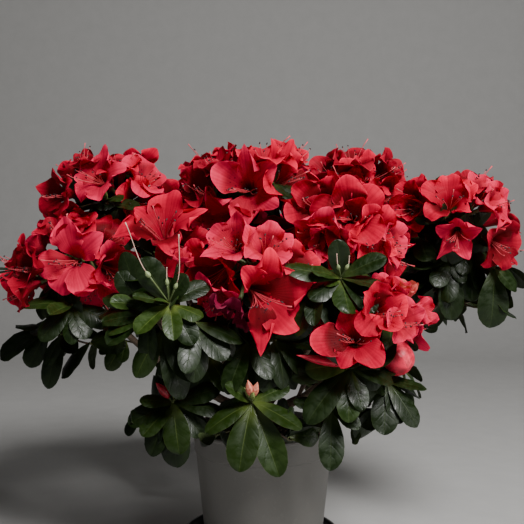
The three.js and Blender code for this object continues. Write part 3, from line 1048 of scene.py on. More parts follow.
# Kinds of flower: the finish, then ranges of how far it opens in degrees, how its edges cup, per metre, and
# how far its tips curl back in degrees. The kind "ball" is a fat closed bud, made with the other buds.
# The pink finish is a lit copy of coral: partly a pinker tone, partly painted light for flowers that catch the
# light. The dark red finish is a shaded copy of coral, with painted shade for flowers that stand in shade.
KINDS = {
    "coral": {"finish": "coral", "open": (50, 76), "cup": (-14, 40), "curl": (-8, 66)},
    "rose": {"finish": "rose", "open": (50, 74), "cup": (-14, 40), "curl": (-8, 66)},
    "crimson": {"finish": "crimson", "open": (42, 72), "cup": (-14, 44), "curl": (-8, 66)},
    "cup": {"finish": "rose", "open": (34, 42), "cup": (44, 64), "curl": (-62, -34)},
    "tube": {"finish": "rose", "open": (20, 26), "cup": (50, 70), "curl": (-10, 40)},
    "pale": {"finish": "pale", "open": (13, 19), "cup": (70, 95), "curl": (-26, -8)},
    "withered": {"finish": "withered", "open": (64, 110), "cup": (20, 60), "curl": (0, 70)},
}
MOUTH_INSIDE = 3 * MM

blooms = []


def plant_bloom(spot, face, width, kind, node, lobes=None, ruled=False):
    """Notes one flower by its mouth, its facing, its width and its kind."""
    blooms.append({
        "mouth": spot, "face": unit(face), "width": width, "kind": kind, "mass": node, "lobes": lobes,
        "ruled": ruled,
    })


for name, rows in BLOOMS.items():
    node = f"mass_{name}"
    for row, (turn, lift, face_turn, face_lift, width, kind) in enumerate(rows):
        direction = heading(turn, lift)
        spot = way_out(node, direction)[0] - direction * MOUTH_INSIDE
        lobes = LOBES_BY_HAND.get((name, row))
        plant_bloom(spot, heading(face_turn, face_lift), width * MM, kind, node, lobes)
print("flowers laid by hand:", len(blooms))

# %% The back's flowers, by rule
FILL_WAYS = 150
FILL_SPACING = 0.68
# Fill flowers are mostly coral. The pink ones carry painted light and the dark red ones painted shade.
FILL_KINDS = ["coral"] * 6 + ["rose"] * 3 + ["crimson"] * 3
FILL_NARROWEST, FILL_WIDER_BY = 46, 16
SWAY = 0.22
CLEAR_OF_MASS = 9 * MM
fill_rng = np.random.default_rng(5)


def even_ways(count):
    """Directions spread evenly over a ball."""
    step = np.arange(count) + 0.5
    height = 1 - 2 * step / count
    turn = np.degrees(GOLDEN_TURN * step)
    return heading(turn, np.degrees(np.arcsin(height)))


def open_places(node, ways, depth):
    """Places on a mass that look out of the crown, with their facing directions."""
    hits = [way_out(node, way) for way in ways]
    spots = np.array([hit[0] for hit in hits])
    normals = np.array([hit[1] for hit in hits])
    out = unit(spots - HEART)
    free = ~buried(spots + normals * CLEAR_OF_MASS, node) & ((normals * out).sum(1) > 0.05)
    faces = unit(0.6 * normals + 0.55 * out + 0.22 * UP)
    return (spots - ways * depth)[free], faces[free]


for node in petal_masses:
    spots, faces = open_places(node, even_ways(FILL_WAYS), MOUTH_INSIDE)
    middle, half = masses[node]["middle"], masses[node]["half"]
    planned = node[5:] in BLOOMS
    for i in fill_rng.permutation(len(spots)):
        spot, face = spots[i], faces[i]
        if planned and spot[1] < middle[1] + 0.25 * half[1]:
            continue
        width = (FILL_NARROWEST + FILL_WIDER_BY * fill_rng.random()) * MM
        gaps = np.linalg.norm(np.array([bloom["mouth"] for bloom in blooms]) - spot, axis=1)
        if gaps.min() < FILL_SPACING * width:
            continue
        face = unit(face + SWAY * fill_rng.standard_normal(3))
        plant_bloom(spot, face, width, FILL_KINDS[fill_rng.integers(len(FILL_KINDS))], node, ruled=True)
print("flowers in all:", len(blooms))

# %% [markdown]
# ## Shoots
#
# Flowers and leaves both spring from shoot tips. Up to four flowers share one tip, which sits behind them. A
# leaf shoot has its own tip near the surface of its mass, and its whorl faces outwards and up. Every tip is
# kept as a hub with a place, an axis, and the kind of leaves it carries.

# %% Hubs of the flowers
TUBE_RISE = 21.0
PEDICEL = 13 * MM
HUB_REACH = 24 * MM
HUB_HOLDS = 4
OPEN_WIDTH = 62 * MM
hubs = []


def add_hub(spot, axis, leaves, kind, mass, length=46.0, laid=None):
    """Notes one shoot tip: how many leaves it carries, of what kind, and the longest one in millimetres."""
    hubs.append({
        "spot": spot, "axis": unit(axis), "leaves": leaves, "kind": kind, "mass": mass, "length": length,
        "laid": laid,
    })
    return len(hubs) - 1


for bloom in blooms:
    bloom["scale"] = bloom["width"] / OPEN_WIDTH
    bloom["foot"] = bloom["mouth"] - bloom["face"] * TUBE_RISE * MM * bloom["scale"]

clusters = []
for bloom in blooms:
    near = None
    for cluster in clusters:
        gap = np.linalg.norm(np.mean([b["foot"] for b in cluster], axis=0) - bloom["foot"])
        if cluster[0]["mass"] == bloom["mass"] and len(cluster) < HUB_HOLDS and gap < HUB_REACH:
            near = cluster
            break
    if near is None:
        clusters.append([bloom])
    else:
        near.append(bloom)
hub_rng = np.random.default_rng(21)
for cluster in clusters:
    face = unit(np.mean([bloom["face"] for bloom in cluster], axis=0))
    foot = np.mean([bloom["foot"] for bloom in cluster], axis=0)
    number = add_hub(foot - face * PEDICEL, face, int(hub_rng.integers(6, 9)), "flower", cluster[0]["mass"])
    for bloom in cluster:
        bloom["hub"] = number
print("flower shoots:", len(clusters))

# %% The front's leaf shoots, laid out one by one
# Each: turn and lift of its place, turn and lift of its axis, its leaves, and how deep it sits in millimetres
# where that isn't the usual depth. A leaf has a turn, a lift, a length in millimetres, and a kind where it
# isn't dark.
SHOOTS = {
    "left_shoot": [
        (270, -5, 262, 25, [
            (200, 18, 29, "mid"), (338, -14, 29, "fresh"), (318, 60, 27), (325, -48, 37),
            (283, -44, 33, "fresh"), (214, -32, 35, "fresh"), (202, 58, 40), (235, 20, 14, "fresh"),
            (20, 30, 36), (150, 15, 38), (300, 25, 13, "fresh"),
        ]),
        (235, -25, 245, 0, [
            (262, -66, 36), (198, -14, 36, "mid"), (205, -26, 40), (190, 0, 38),
        ]),
        (305, -30, 290, 0, [
            (329, -38, 39), (285, -68, 46), (350, -15, 40), (260, -50, 42),
            (10, -40, 42),
        ]),
        (255, -45, 262, -5, [(331, -52, 46), (325, -66, 56), (215, -50, 42, "mid")]),
        (196, -18, 240, 12, [
            (188, -4, 38), (200, -26, 36, "mid"), (188, -46, 36), (212, 12, 28, "fresh"),
            (175, 16, 36), (190, 52, 34), (180, 66, 46),
        ]),
    ],
    "right_shoot": [
        (265, 10, 272, 30, [
            (279, -38, 36, "mid"), (336, -3, 37), (217, 19, 29, "mid"), (195, 16, 45, "mid"),
            (262, 62, 33), (211, -24, 32), (215, -12, 16, "fresh"), (325, -38, 38),
            (350, 30, 38), (170, -20, 42),
        ]),
        (225, -10, 250, 0, [(255, -36, 36), (220, -50, 42), (300, -48, 40), (180, -10, 40)]),
    ],
    "centre_top": [(300, 12, 300, 10, [(322, -35, 24), (345, -10, 24), (300, 50, 22)], 5)],
    "centre_front": [
        (250, -60, 262, -20, [
            (234, -50, 45), (307, -40, 38), (200, -55, 40), (345, -50, 44),
            (265, -72, 44),
        ]),
        (310, -55, 300, -20, [
            (300, -58, 42), (340, -40, 42), (250, -66, 44), (10, -60, 46),
            (342, -6, 40), (325, 20, 34),
        ]),
    ],
    "low_front": [
        (275, 35, 268, 30, [
            (246, -58, 54, "mid"), (312, -58, 60, "mid"), (202, -22, 43, "mid"), (337, -20, 44, "mid"),
            (10, 26, 32, "mid"), (205, 38, 27, "mid"), (85, 20, 38), (150, -10, 40),
        ]),
    ],
    "low_left": [
        (290, 38, 255, 25, [
            (284, -56, 42, "mid"), (218, -34, 37, "mid"), (193, -18, 40), (200, 14, 28, "mid"),
            (212, -58, 46), (272, -74, 52), (345, 0, 44), (352, 22, 40),
            (335, -40, 36), (120, 10, 38), (270, 40, 12, "fresh"),
        ]),
    ],
    "low_right": [
        (265, 20, 275, 15, [
            (268, -64, 50), (318, -22, 30), (200, 12, 32), (20, 5, 36),
            (100, 10, 40), (325, 10, 26, "mid"),
        ]),
    ],
    "left_skirt": [
        (265, 30, 250, 0, [
            (212, -67, 50), (228, -52, 30), (300, -20, 34), (150, 10, 38),
        ]),
        (202, 44, 250, 12, [
            (187, -22, 54), (210, -52, 40), (170, 5, 34),
        ]),
        (320, 10, 262, 0, [(194, -42, 40), (340, 0, 34), (60, 10, 36)]),
        (352, 5, 250, -20, [(200, -50, 32, "fresh"), (250, -62, 20, "mid"), (185, -20, 26, "mid")], -14),
    ],
    "right_skirt": [
        (215, 45, 265, 0, [
            (262, -62, 40), (284, -76, 54), (312, -42, 26), (198, -8, 34),
            (232, -40, 32), (180, 15, 36),
        ]),
        (300, 26, 280, 0, [(262, -76, 54), (328, -46, 28), (20, -25, 32)]),
    ],
    "left_wing": [
        (290, -35, 265, 0, [
            (277, -50, 36), (310, -50, 34), (190, 6, 44, "mid"), (250, -5, 31, "mid"),
            (225, -35, 40), (345, -20, 38),
        ]),
        (200, 10, 200, 10, [(185, 5, 36), (215, -5, 38), (170, -20, 38)]),
    ],
    "upper_left": [
        (280, -8, 265, 30, [
            (225, -8, 30), (308, 8, 24, "mid"), (232, 14, 22, "mid"), (330, -10, 34),
            (275, 10, 16, "fresh"),
        ]),
    ],
    "right_wing": [
        (245, 0, 265, 10, [
            (212, -8, 22), (250, 34, 16), (325, 28, 18), (165, 0, 26),
        ]),
        (300, -60, 290, -10, [
            (322, -44, 42), (305, -64, 44), (292, -74, 54), (250, -50, 36),
            (10, -30, 38),
        ]),
        (195, -25, 240, 0, [(215, -14, 34), (275, -30, 34), (205, -45, 40)]),
    ],
    "right_front": [
        (225, -47, 262, 22, [
            (195, 8, 36, "fresh"), (188, -4, 46), (215, 48, 34), (212, -38, 56),
            (262, -52, 44, "mid"), (290, -50, 36), (340, -8, 36), (20, -30, 40),
            (250, 55, 13, "fresh"), (8, -4, 38),
        ], 2),
    ],
    "right_drape": [
        (260, 20, 290, 10, [
            (325, -46, 44), (315, -62, 36), (262, -62, 44), (350, -6, 34),
            (30, -20, 40),
        ]),
    ],
}
HUB_INSIDE = 9 * MM
laid_hubs = {}
for name, rows in SHOOTS.items():
    node = f"mass_{name}"
    for turn, lift, axis_turn, axis_lift, laid, *inside in rows:
        direction = heading(turn, lift)
        spot = way_out(node, direction)[0] - direction * (inside[0] * MM if inside else HUB_INSIDE)
        number = add_hub(spot, heading(axis_turn, axis_lift), len(laid), "dark", node, laid=laid)
        laid_hubs.setdefault(name, number)

# %% The other leaf shoots, by rule
LEAF_SPACING = 24 * MM
LOW_SPACING = 30 * MM
UNDER_SPACING = 30 * MM
LOWEST_SHOOT = 138 * MM
SPARSE = ("left_skirt", "left_drape")
SHOOT_KINDS = ["dark"] * 6 + ["mid"] * 3 + ["fresh"]
LEAF_DEPTH, UNDER_DEPTH = 10 * MM, 22 * MM


def fill_shoots(node, spacing, depth, rng):
    """Adds leaf shoots to a mass where it looks out of the crown and no other shoot is near."""
    spots, axes = open_places(node, even_ways(FILL_WAYS), depth)
    middle, half = masses[node]["middle"], masses[node]["half"]
    for i in rng.permutation(len(spots)):
        if node in petal_masses and spots[i][2] > middle[2]:
            continue
        if node[5:] in SHOOTS and spots[i][1] < middle[1] - 0.15 * half[1]:
            continue
        if node[5:] in SPARSE and spots[i][2] < middle[2]:
            continue
        gaps = np.linalg.norm(np.array([hub["spot"] for hub in hubs]) - spots[i], axis=1)
        if gaps.min() < spacing or spots[i][2] < LOWEST_SHOOT:
            continue
        kind = SHOOT_KINDS[rng.integers(len(SHOOT_KINDS))]
        axis = axes[i] + 0.25 * rng.standard_normal(3)
        add_hub(spots[i], axis, int(rng.integers(5, 9)), kind, node, 38 + 12 * rng.random())


for node in leaf_masses:
    fill_shoots(node, LOW_SPACING if "low" in node else LEAF_SPACING, LEAF_DEPTH, hub_rng)
for node in petal_masses:
    fill_shoots(node, UNDER_SPACING, UNDER_DEPTH, hub_rng)
print("shoots in all:", len(hubs))

# %% [markdown]
# ## Twigs
#
# Twigs follow a branching rule. The nearest shoot tips are reached first, from the boughs. Each new twig then
# offers places from which the next ones may fork. A place is better the nearer it is, and the less the twig
# has to turn back.

# %% Grow the twigs
TWIG_RINGS = 10
TWIG_SIDES = 6
TURN_COST = 0.9
TOO_NEAR, NEAR_COST = 8 * MM, 20 * MM
TWIG_TIP = 0.85 * MM
FORKS_AT = (3, 5, 7)
twig_rng = np.random.default_rng(33)
fork_spots, fork_ways, fork_radii = [], [], []
for path, radius in limbs.values():
    ways = unit(np.gradient(path, axis=0))
    for i in range(int(0.45 * len(path)), len(path), 3):
        fork_spots.append(path[i])
        fork_ways.append(ways[i])
        fork_radii.append(radius[i])

hub_spots = np.array([hub["spot"] for hub in hubs])
first_gaps = np.linalg.norm(hub_spots[:, None] - np.array(fork_spots)[None], axis=2).min(1)
twig_paths, twig_radii = [], []
for i in np.argsort(first_gaps, kind="stable"):
    hub = hubs[i]
    forks = np.array(fork_spots)
    ways = np.array(fork_ways)
    to_hub = hub["spot"] - forks
    gap = np.linalg.norm(to_hub, axis=1)
    turning = 1 - (unit(to_hub) * ways).sum(1)
    best = int((gap * (1 + TURN_COST * turning) + NEAR_COST * (gap < TOO_NEAR)).argmin())
    start, span = forks[best], gap[best]
    leave = unit(0.7 * ways[best] + 0.7 * to_hub[best] / max(span, 1e-6))
    arrive = unit(hub["axis"] + 0.5 * UP)
    wiggle = 0.08 * span * twig_rng.standard_normal((2, 3))
    second = start + leave * span * 0.35 + wiggle[0]
    third = hub["spot"] - arrive * span * 0.35 + wiggle[1]
    path = one_bezier((start, second, third, hub["spot"]), TWIG_RINGS)
    thick = min(0.8 * fork_radii[best], (0.95 + 0.012 * span / MM) * MM)
    radius = np.linspace(max(thick, 0.9 * MM), TWIG_TIP, TWIG_RINGS)
    twig_paths.append(path)
    twig_radii.append(radius)
    hub["twig"] = path
    along_twig = unit(np.gradient(path, axis=0))
    for k in FORKS_AT:
        fork_spots.append(path[k])
        fork_ways.append(along_twig[k])
        fork_radii.append(radius[k])

twig_heap = Heap()
add_tubes(twig_heap, twig_paths, twig_radii, TWIG_SIDES)
print("twigs:", len(twig_paths))

# %% [markdown]
# ## Leaves
#
# An azalea's leaf is leathery, widest past its middle, and ends in a tiny point. It is folded a little along
# the midrib, its edges turn down, and it arches over. All leaves are worked out together as small grids. In a
# whorl the young inner leaves are short and upright, and the old outer ones are long, flat and hang a little.

# %% Where each leaf stands
leaf_rng = np.random.default_rng(44)
leaves = {"foot": [], "along": [], "top": [], "length": [], "kind": [], "droop": [], "planned": []}
LEAF_KINDS = ["dark", "mid", "fresh"]
# How far leaves lean from the shoot's axis, in degrees, for the innermost and the outermost one.
LEAF_SHOOT_LEANS, FLOWER_SHOOT_LEANS = (30, 84), (72, 98)
FIRST_BACK, LAST_BACK, LEAF_GAP = 9, 34, 7.5


def note_leaf(foot, along, top, length, kind, droop, planned=False):
    """Notes one leaf: its foot, direction, the way its upper side looks, length, kind and arch."""
    for key, value in zip(leaves, (foot, along, top, length, LEAF_KINDS.index(kind), droop, planned)):
        leaves[key].append(value)


def laid_leaves(hub, rng):
    """The leaves of a shoot that are listed one by one."""
    for turn, lift, length, *kind in hub["laid"]:
        along = heading(turn, lift)
        rising = max(0.0, along[2])
        top = (0.8 - 0.6 * rising) * UP + (0.75 + 0.6 * rising) * hub["axis"] + 0.12 * rng.standard_normal(3)
        foot = hub["spot"] - hub["axis"] * rng.uniform(0, 4) * MM
        note_leaf(foot, along, top, length * MM, kind[0] if kind else "dark", rng.uniform(0.10, 0.40), True)


def whorl(hub, rng):
    """Leaves round a shoot's tip, by the golden angle, from the upright inner ones to the flat outer ones."""
    axis = hub["axis"]
    first, second = square_pair(axis)
    start = rng.random() * 2 * math.pi
    flower = hub["kind"] == "flower"
    inner, outer = FLOWER_SHOOT_LEANS if flower else LEAF_SHOOT_LEANS
    for k in range(hub["leaves"]):
        share = 1 - k / max(hub["leaves"] - 1, 1)
        turn = start + GOLDEN_TURN * k + 0.2 * rng.standard_normal()
        radial = math.cos(turn) * first + math.sin(turn) * second
        lean = math.radians(inner * share + outer * (1 - share))
        lean += math.radians(7) * rng.standard_normal()
        sag = 0.10 + 0.30 * (1 - share) + 0.10 * rng.random()
        along = unit(math.cos(lean) * axis + math.sin(lean) * radial - sag * UP)
        top = unit(math.sin(lean) * axis - math.cos(lean) * radial + 0.45 * UP)
        length = hub["length"] * (0.56 + 0.44 * (1 - share) ** 0.7) * (0.9 + 0.2 * rng.random())
        kind = hub["kind"]
        if flower:
            kind = "dark" if rng.random() < 0.75 else "mid"
        elif kind == "fresh" and share < 0.35:
            kind = "mid"
        elif kind == "dark" and share > 0.85 and rng.random() < 0.5:
            kind = "mid"
        foot = hub["spot"] - axis * (1 - share) * 5 * MM
        note_leaf(foot, along, top, length * MM, kind, 0.15 + 0.55 * rng.random())


def twig_leaves(hub, rng):
    """A few leaves down the last stretch of a twig."""
    path = hub["twig"]
    ways = unit(np.gradient(path, axis=0))
    lengths = np.concatenate([[0], np.linalg.norm(np.diff(path, axis=0), axis=1).cumsum()])
    turn = rng.random() * 2 * math.pi
    for back in np.arange(FIRST_BACK, LAST_BACK, LEAF_GAP):
        at = lengths[-1] - back * MM
        if at < 6 * MM:
            break
        spot = np.array([np.interp(at, lengths, path[:, k]) for k in range(3)])
        way = unit(np.array([np.interp(at, lengths, ways[:, k]) for k in range(3)]))
        turn += GOLDEN_TURN
        first, second = square_pair(way)
        radial = math.cos(turn) * first + math.sin(turn) * second
        if rng.random() < 0.25:
            continue
        along = unit(0.45 * way + radial - 0.35 * UP)
        top = unit(way + 0.8 * UP)
        length = hub["length"] * (0.75 + 0.25 * rng.random()) * MM
        note_leaf(spot, along, top, length, "dark", 0.2 + 0.5 * rng.random())


for hub in hubs:
    if hub["laid"]:
        laid_leaves(hub, leaf_rng)
    else:
        whorl(hub, leaf_rng)
        twig_leaves(hub, leaf_rng)
leaves = {key: np.array(value) for key, value in leaves.items()}
print("leaves noted:", len(leaves["foot"]))

# %% Leave room for the flowers, and keep the gaps of the crown open
TIP_ROOM = 1.30
FACE_SHARE = 0.44
mouths = np.array([bloom["mouth"] for bloom in blooms])
mouth_ways = np.array([bloom["face"] for bloom in blooms])
mouth_widths = np.array([bloom["width"] for bloom in blooms])


def over_a_flower(points):
    """True where a point lies in front of a flower's open face."""
    away = points[:, None] - mouths[None]
    ahead = (away * mouth_ways[None]).sum(-1)
    aside = np.linalg.norm(away - ahead[..., None] * mouth_ways[None], axis=-1)
    before = (ahead > -2 * MM) & (ahead < 34 * MM)
    return (before & (aside < FACE_SHARE * mouth_widths[None])).any(1)


def beyond(points, grow):
    """True where a point lies outside every mass grown by this share."""
    away = (points[:, None] - middles[None]) / (halves[None] * grow)
    return ((away**2).sum(-1) > 1).all(1)


reaches = leaves["along"] * leaves["length"][:, None]
covered = beyond(leaves["foot"] + reaches, TIP_ROOM)
for share in (0.95, 0.55):
    covered |= over_a_flower(leaves["foot"] + reaches * share)
covered &= ~leaves["planned"]
leaves = {key: value[~covered] for key, value in leaves.items()}
print("leaves kept:", len(leaves["foot"]))

# %% Leaf shape
LEAF_ROWS = np.array([0, 0.08, 0.20, 0.34, 0.48, 0.62, 0.75, 0.86, 0.94, 0.985, 1.0])
LEAF_COLUMNS = np.array([-1, -0.68, -0.26, 0, 0.26, 0.68, 1.0])
WEDGE, BLUNT = 1.04, 0.58
WIDEST_AT = WEDGE / (WEDGE + BLUNT)


def leaf_points(foot, along, top, length, droop, rng):
    """Grids of all these leaves: (leaves, points, 3)."""
    count = len(foot)
    top = squared_to(top, along)
    side = np.cross(along, top)
    t = LEAF_ROWS[None, :]
    width = length * (0.236 + 0.022 * rng.standard_normal(count).clip(-1.5, 1.5)) * (42 * MM / length) ** 0.25
    outline = t**WEDGE * (1 - t) ** BLUNT / (WIDEST_AT**WEDGE * (1 - WIDEST_AT) ** BLUNT)
    half = width[:, None] * outline + 0.55 * MM * (1 - t) ** 2 + 0.12 * MM
    arch = droop[:, None]
    bend = arch * (t - 0.08).clip(0) * (1 + 0.5 * t)
    steps = np.diff(LEAF_ROWS)
    mid_bend = (bend[:, 1:] + bend[:, :-1]) / 2
    forward = np.concatenate([np.zeros((count, 1)), (np.cos(mid_bend) * steps).cumsum(1)], 1)
    down = np.concatenate([np.zeros((count, 1)), (np.sin(mid_bend) * steps).cumsum(1)], 1)
    u = LEAF_COLUMNS[None, None, :]
    fold = (0.26 + 0.14 * rng.standard_normal(count))[:, None, None]
    roll = (0.26 + 0.10 * rng.standard_normal(count))[:, None, None]
    wave = (0.9 * MM * rng.random(count))[:, None, None]
    beat = (2.2 + 1.5 * rng.random(count))[:, None, None]
    phase = (2 * math.pi * rng.random(count))[:, None, None]
    twist = (0.25 * rng.standard_normal(count))[:, None, None]
    half3 = half[:, :, None]
    t3 = t[:, :, None]
    rise = half3 * (fold * np.abs(u) - roll * u**2) + twist * half3 * u * t3
    rise = rise + wave * np.abs(u) ** 1.5 * np.sin(2 * math.pi * beat * t3 + phase + 1.3 * np.sign(u)) * t3
    bent_up = np.cos(bend)[..., None] * top[:, None] + np.sin(bend)[..., None] * along[:, None]
    spine = foot[:, None] + length[:, None, None] * (
        forward[..., None] * along[:, None] - down[..., None] * top[:, None]
    )
    points = spine[:, :, None] + (half3 * u)[..., None] * side[:, None, None]
    points = points + rise[..., None] * bent_up[:, :, None]
    return points.reshape(count, -1, 3)


def blade_places(rows, columns, tiles):
    """Map places of each blade, in the tile that it uses."""
    across = 0.02 + 0.96 * (columns + 1) / 2
    grid = np.stack(np.broadcast_arrays(across[None, :], rows[:, None]), axis=-1).reshape(1, -1, 2)
    places = np.repeat(grid, len(tiles), axis=0)
    places[:, :, 0] = (places[:, :, 0] + np.asarray(tiles)[:, None]) / TILES
    return places


# %% Leaf finish
def leaf_material(name, body, deep, vein_colour, under):
    """A leathery leaf: sunken veins, a pale midrib, a pale edge that is partly a painted highlight, a satin
    upper side and a dull under side.
    """
    material, g, shader = new_material(name)
    veins = g.use(vein_group, Slant=0.26, Count=6.0, Width=0.22, Midrib=0.055)
    along, midrib = veins["Along"], veins["Midrib"]
    blotch = grain(g, veins["Place"], 9.0, 0.55)
    fine = grain(g, veins["Place"], 90.0, 0.6)
    colour = mottled(g, blotch, deep, body)
    colour = g.mix(g.times(veins["Tile"], 0.22), colour, shade(body, 0.55))
    colour = g.mix(g.times(veins["Veins"], 0.30), colour, deep)
    colour = g.mix(g.spread(along, 0.10, 0.42, 0.75, 0.0), colour, vein_colour)
    rib_fade = g.spread(along, 0.30, 1.0, 0.75, 0.25)
    colour = g.mix(g.times(midrib, rib_fade), colour, vein_colour)
    # The pale edge is partly the leaf's pale hairy margin and partly a painted highlight along it.
    rim = g.spread(g.math("ABSOLUTE", veins["Across"]), 0.91, 1.0, 0.0, 0.7)
    colour = g.mix(rim, colour, vein_colour)
    back = g.node("ShaderNodeNewGeometry").outputs["Backfacing"]
    satin = g.spread(blotch, 0.35, 0.65, 0.30, 0.54)
    height = g.math("ADD", g.times(veins["Veins"], -0.6), g.times(midrib, -1.0))
    height = g.math("ADD", height, g.times(fine, 0.5))
    g.feed(shader, {
        "Base Color": g.mix(back, colour, under),
        "Roughness": g.math("ADD", satin, g.times(back, 0.25)),
        "Specular IOR Level": 0.25,
        "Sheen Weight": 0.01, "Sheen Roughness": 0.4, "Sheen Tint": (0.75, 0.86, 1.0),
        "Normal": g.bump(height, 0.22, 0.0006),
    })
    return material


# Each: the blade, its darker patches, its veins and its under side.
leaf_finishes = {kind: leaf_material(f"leaf_{kind}", *colours) for kind, colours in {
    "dark": (
        (0.0084, 0.0195, 0.0022), (0.0044, 0.0110, 0.0014), (0.028, 0.044, 0.009), (0.024, 0.036, 0.012),
    ),
    "mid": (
        (0.0155, 0.0335, 0.0034), (0.0090, 0.0215, 0.0023), (0.060, 0.085, 0.015), (0.036, 0.052, 0.016),
    ),
    "fresh": (
        (0.030, 0.060, 0.0066), (0.018, 0.040, 0.0050), (0.115, 0.150, 0.028), (0.056, 0.080, 0.020),
    ),
}.items()}

# %% Make the leaves
MOST_TRIANGLES = 190_000
shape_rng = np.random.default_rng(45)
leaf_faces = grid_faces(len(LEAF_ROWS) - 1, len(LEAF_COLUMNS) - 1)
leaves_each = MOST_TRIANGLES // (2 * len(leaf_faces))
for number, kind in enumerate(LEAF_KINDS):
    chosen = np.flatnonzero(leaves["kind"] == number)
    for part, first in enumerate(range(0, len(chosen), leaves_each)):
        some = chosen[first : first + leaves_each]
        shape = [leaves[key][some] for key in ("foot", "along", "top", "length", "droop")]
        points = leaf_points(*shape, shape_rng)
        tiles = shape_rng.integers(0, TILES, len(some))
        heap = Heap()
        heap.add(points, leaf_faces, blade_places(LEAF_ROWS, LEAF_COLUMNS, tiles))
        stands_for = leaf_masses if kind == "dark" and part == 0 else ()
        make_piece(f"leaves_{kind}_{part + 1}", heap, leaf_finishes[kind], stands_for)

# %% [markdown]
# ## Flowers
#
# A flower is a funnel whose five lobes spread flat, overlap and ruffle at their edges. Some have extra small
# petals that stand up in the throat. Every lobe is a strip of faces: its centre line leans out from the
# flower's axis by an angle that grows along it, its cross section follows the funnel's ring at the foot and
# the lobe's own cup further out, and waves grow towards its edge.

# %% One rule for every petal
PETAL_ROWS = np.concatenate([np.linspace(0, 0.30, 5)[:-1], np.linspace(0.30, 1, 14)])
PETAL_COLUMNS = np.sin(math.pi / 2 * np.linspace(-1, 1, 13))
ROUNDNESS = 0.97
LOBES = 5
WIDEST = 0.64


def petal_points(p):
    """Grids of petals. p holds one array per property, all of the same length."""
    t = PETAL_ROWS[None, :]
    v = PETAL_COLUMNS[None, None, :]
    total = (p["tube"] + p["lobe"])[:, None]
    s = t * total
    limb = ((s - p["tube"][:, None]) / p["lobe"][:, None]).clip(0, 1)
    lean = p["lean"][:, None] + (p["open"] - p["lean"])[:, None] * ease(limb / 0.45)
    lean = lean + p["curl"][:, None] * ease((limb - 0.5) / 0.5)
    mid_lean = (lean[:, 1:] + lean[:, :-1]) / 2
    step = np.diff(s, axis=1)
    zero = np.zeros((len(s), 1))
    radius = p["start"][:, None] + np.concatenate([zero, (np.sin(mid_lean) * step).cumsum(1)], 1)
    rise = np.concatenate([zero, (np.cos(mid_lean) * step).cumsum(1)], 1)
    ring = np.maximum(radius, 1.0) * math.pi / LOBES * p["share"][:, None]
    wide = p["wide"][:, None]
    half = ring + (wide - ring) * ease(limb / WIDEST)
    narrowed = wide * (1 - p["taper"][:, None] * ((limb - WIDEST) / (1 - WIDEST)).clip(0) ** 2)
    half = np.where(limb > WIDEST, narrowed, half)
    bend = 1 / np.maximum(radius, 1.0) * (1 - ease(limb / 0.35)) + p["cup"][:, None] * ease(limb / 0.35)
    bend = np.where(np.abs(bend) < 1e-4, 1e-4, bend)[:, :, None]
    half3, limb3 = half[:, :, None], limb[:, :, None]
    turned = bend * half3 * v
    sideways = np.sin(turned) / bend
    lift = (1 - np.cos(turned)) / bend
    edge = np.maximum(np.abs(v) * ease(limb3 / 0.35), ease((limb3 - 0.30) / 0.70))
    angle = np.arctan2(v * half3, (limb3 - 0.45) * p["lobe"][:, None, None])
    waves, phase = p["waves"][:, None, None], p["phase"][:, None, None]
    ruffle = np.sin(waves * angle + phase) + 0.45 * np.sin(1.9 * waves * angle + 2.3 * phase)
    lift = lift + p["ruffle"][:, None, None] * edge**2.4 * ruffle
    lift = lift + p["twist"][:, None, None] * half3 * v * limb3
    lift = lift - 0.55 * np.exp(-((v / 0.16) ** 2)) * np.sin(math.pi * limb3)
    lift = lift + 0.9 * np.sin(2 * math.pi * (0.8 * limb3 + 0.3 * v) + 1.7 * phase) * limb3
    arc = (1 - np.sqrt(1 - (ROUNDNESS * v) ** 2)) / (1 - math.sqrt(1 - ROUNDNESS**2))
    slide = -p["round"][:, None, None] * p["lobe"][:, None, None] * arc * limb3**2
    slide = slide - p["notch"][:, None, None] * np.exp(-((v / 0.26) ** 2)) * limb3**6
    sine, cosine = np.sin(lean)[:, :, None], np.cos(lean)[:, :, None]
    out = radius[:, :, None] + sine * slide - cosine * lift
    up = rise[:, :, None] + cosine * slide + sine * lift
    turn = p["turn"]
    radial = np.cos(turn)[:, None] * p["x"] + np.sin(turn)[:, None] * p["y"]
    lateral = np.sin(turn)[:, None] * p["x"] - np.cos(turn)[:, None] * p["y"]
    local = (
        out[..., None] * radial[:, None, None]
        + sideways[..., None] * lateral[:, None, None]
        + up[..., None] * p["z"][:, None, None]
    )
    scale = (p["scale"] * MM)[:, None, None, None]
    return (p["foot"][:, None, None] + scale * local).reshape(len(s), -1, 3)


# %% Petals of every flower
rng = np.random.default_rng(55)
petals = []
PLAIN_TILE, LIGHT_TILE, SPOTTED_TILE, INNER_TILE = 0, 1, 2, 3
LIGHT_SHARE, LIGHT_SHARE_BY_HAND = 0.4, 0.8
DOUBLE_SHARE = 0.3
WIDE_OPEN = math.radians(50)


def flower_frame(bloom, rng):
    """Three axes of a flower: z out of its mouth, y towards its upper lobe."""
    z = bloom["face"]
    high = UP if abs(z[2]) < 0.93 else np.array([0.3, -0.9, 0.2])
    y = squared_to(high, z)
    roll = 0 if bloom["lobes"] else math.radians(14) * rng.standard_normal()
    x = np.cross(y, z)
    y = math.cos(roll) * y + math.sin(roll) * x
    return np.cross(y, z), y, z


def any_tile(share, rng):
    """The light tile for this share of the petals, and the plain one for the rest."""
    return LIGHT_TILE if rng.random() < share else PLAIN_TILE


def add_petal(bloom, **values):
    """Notes one petal with the flower's frame and its own values."""
    petals.append({
        "finish": KINDS[bloom["kind"]]["finish"], "foot": bloom["foot"], "scale": bloom["scale"],
        "x": bloom["axes"][0], "y": bloom["axes"][1], "z": bloom["axes"][2], **values,
    })


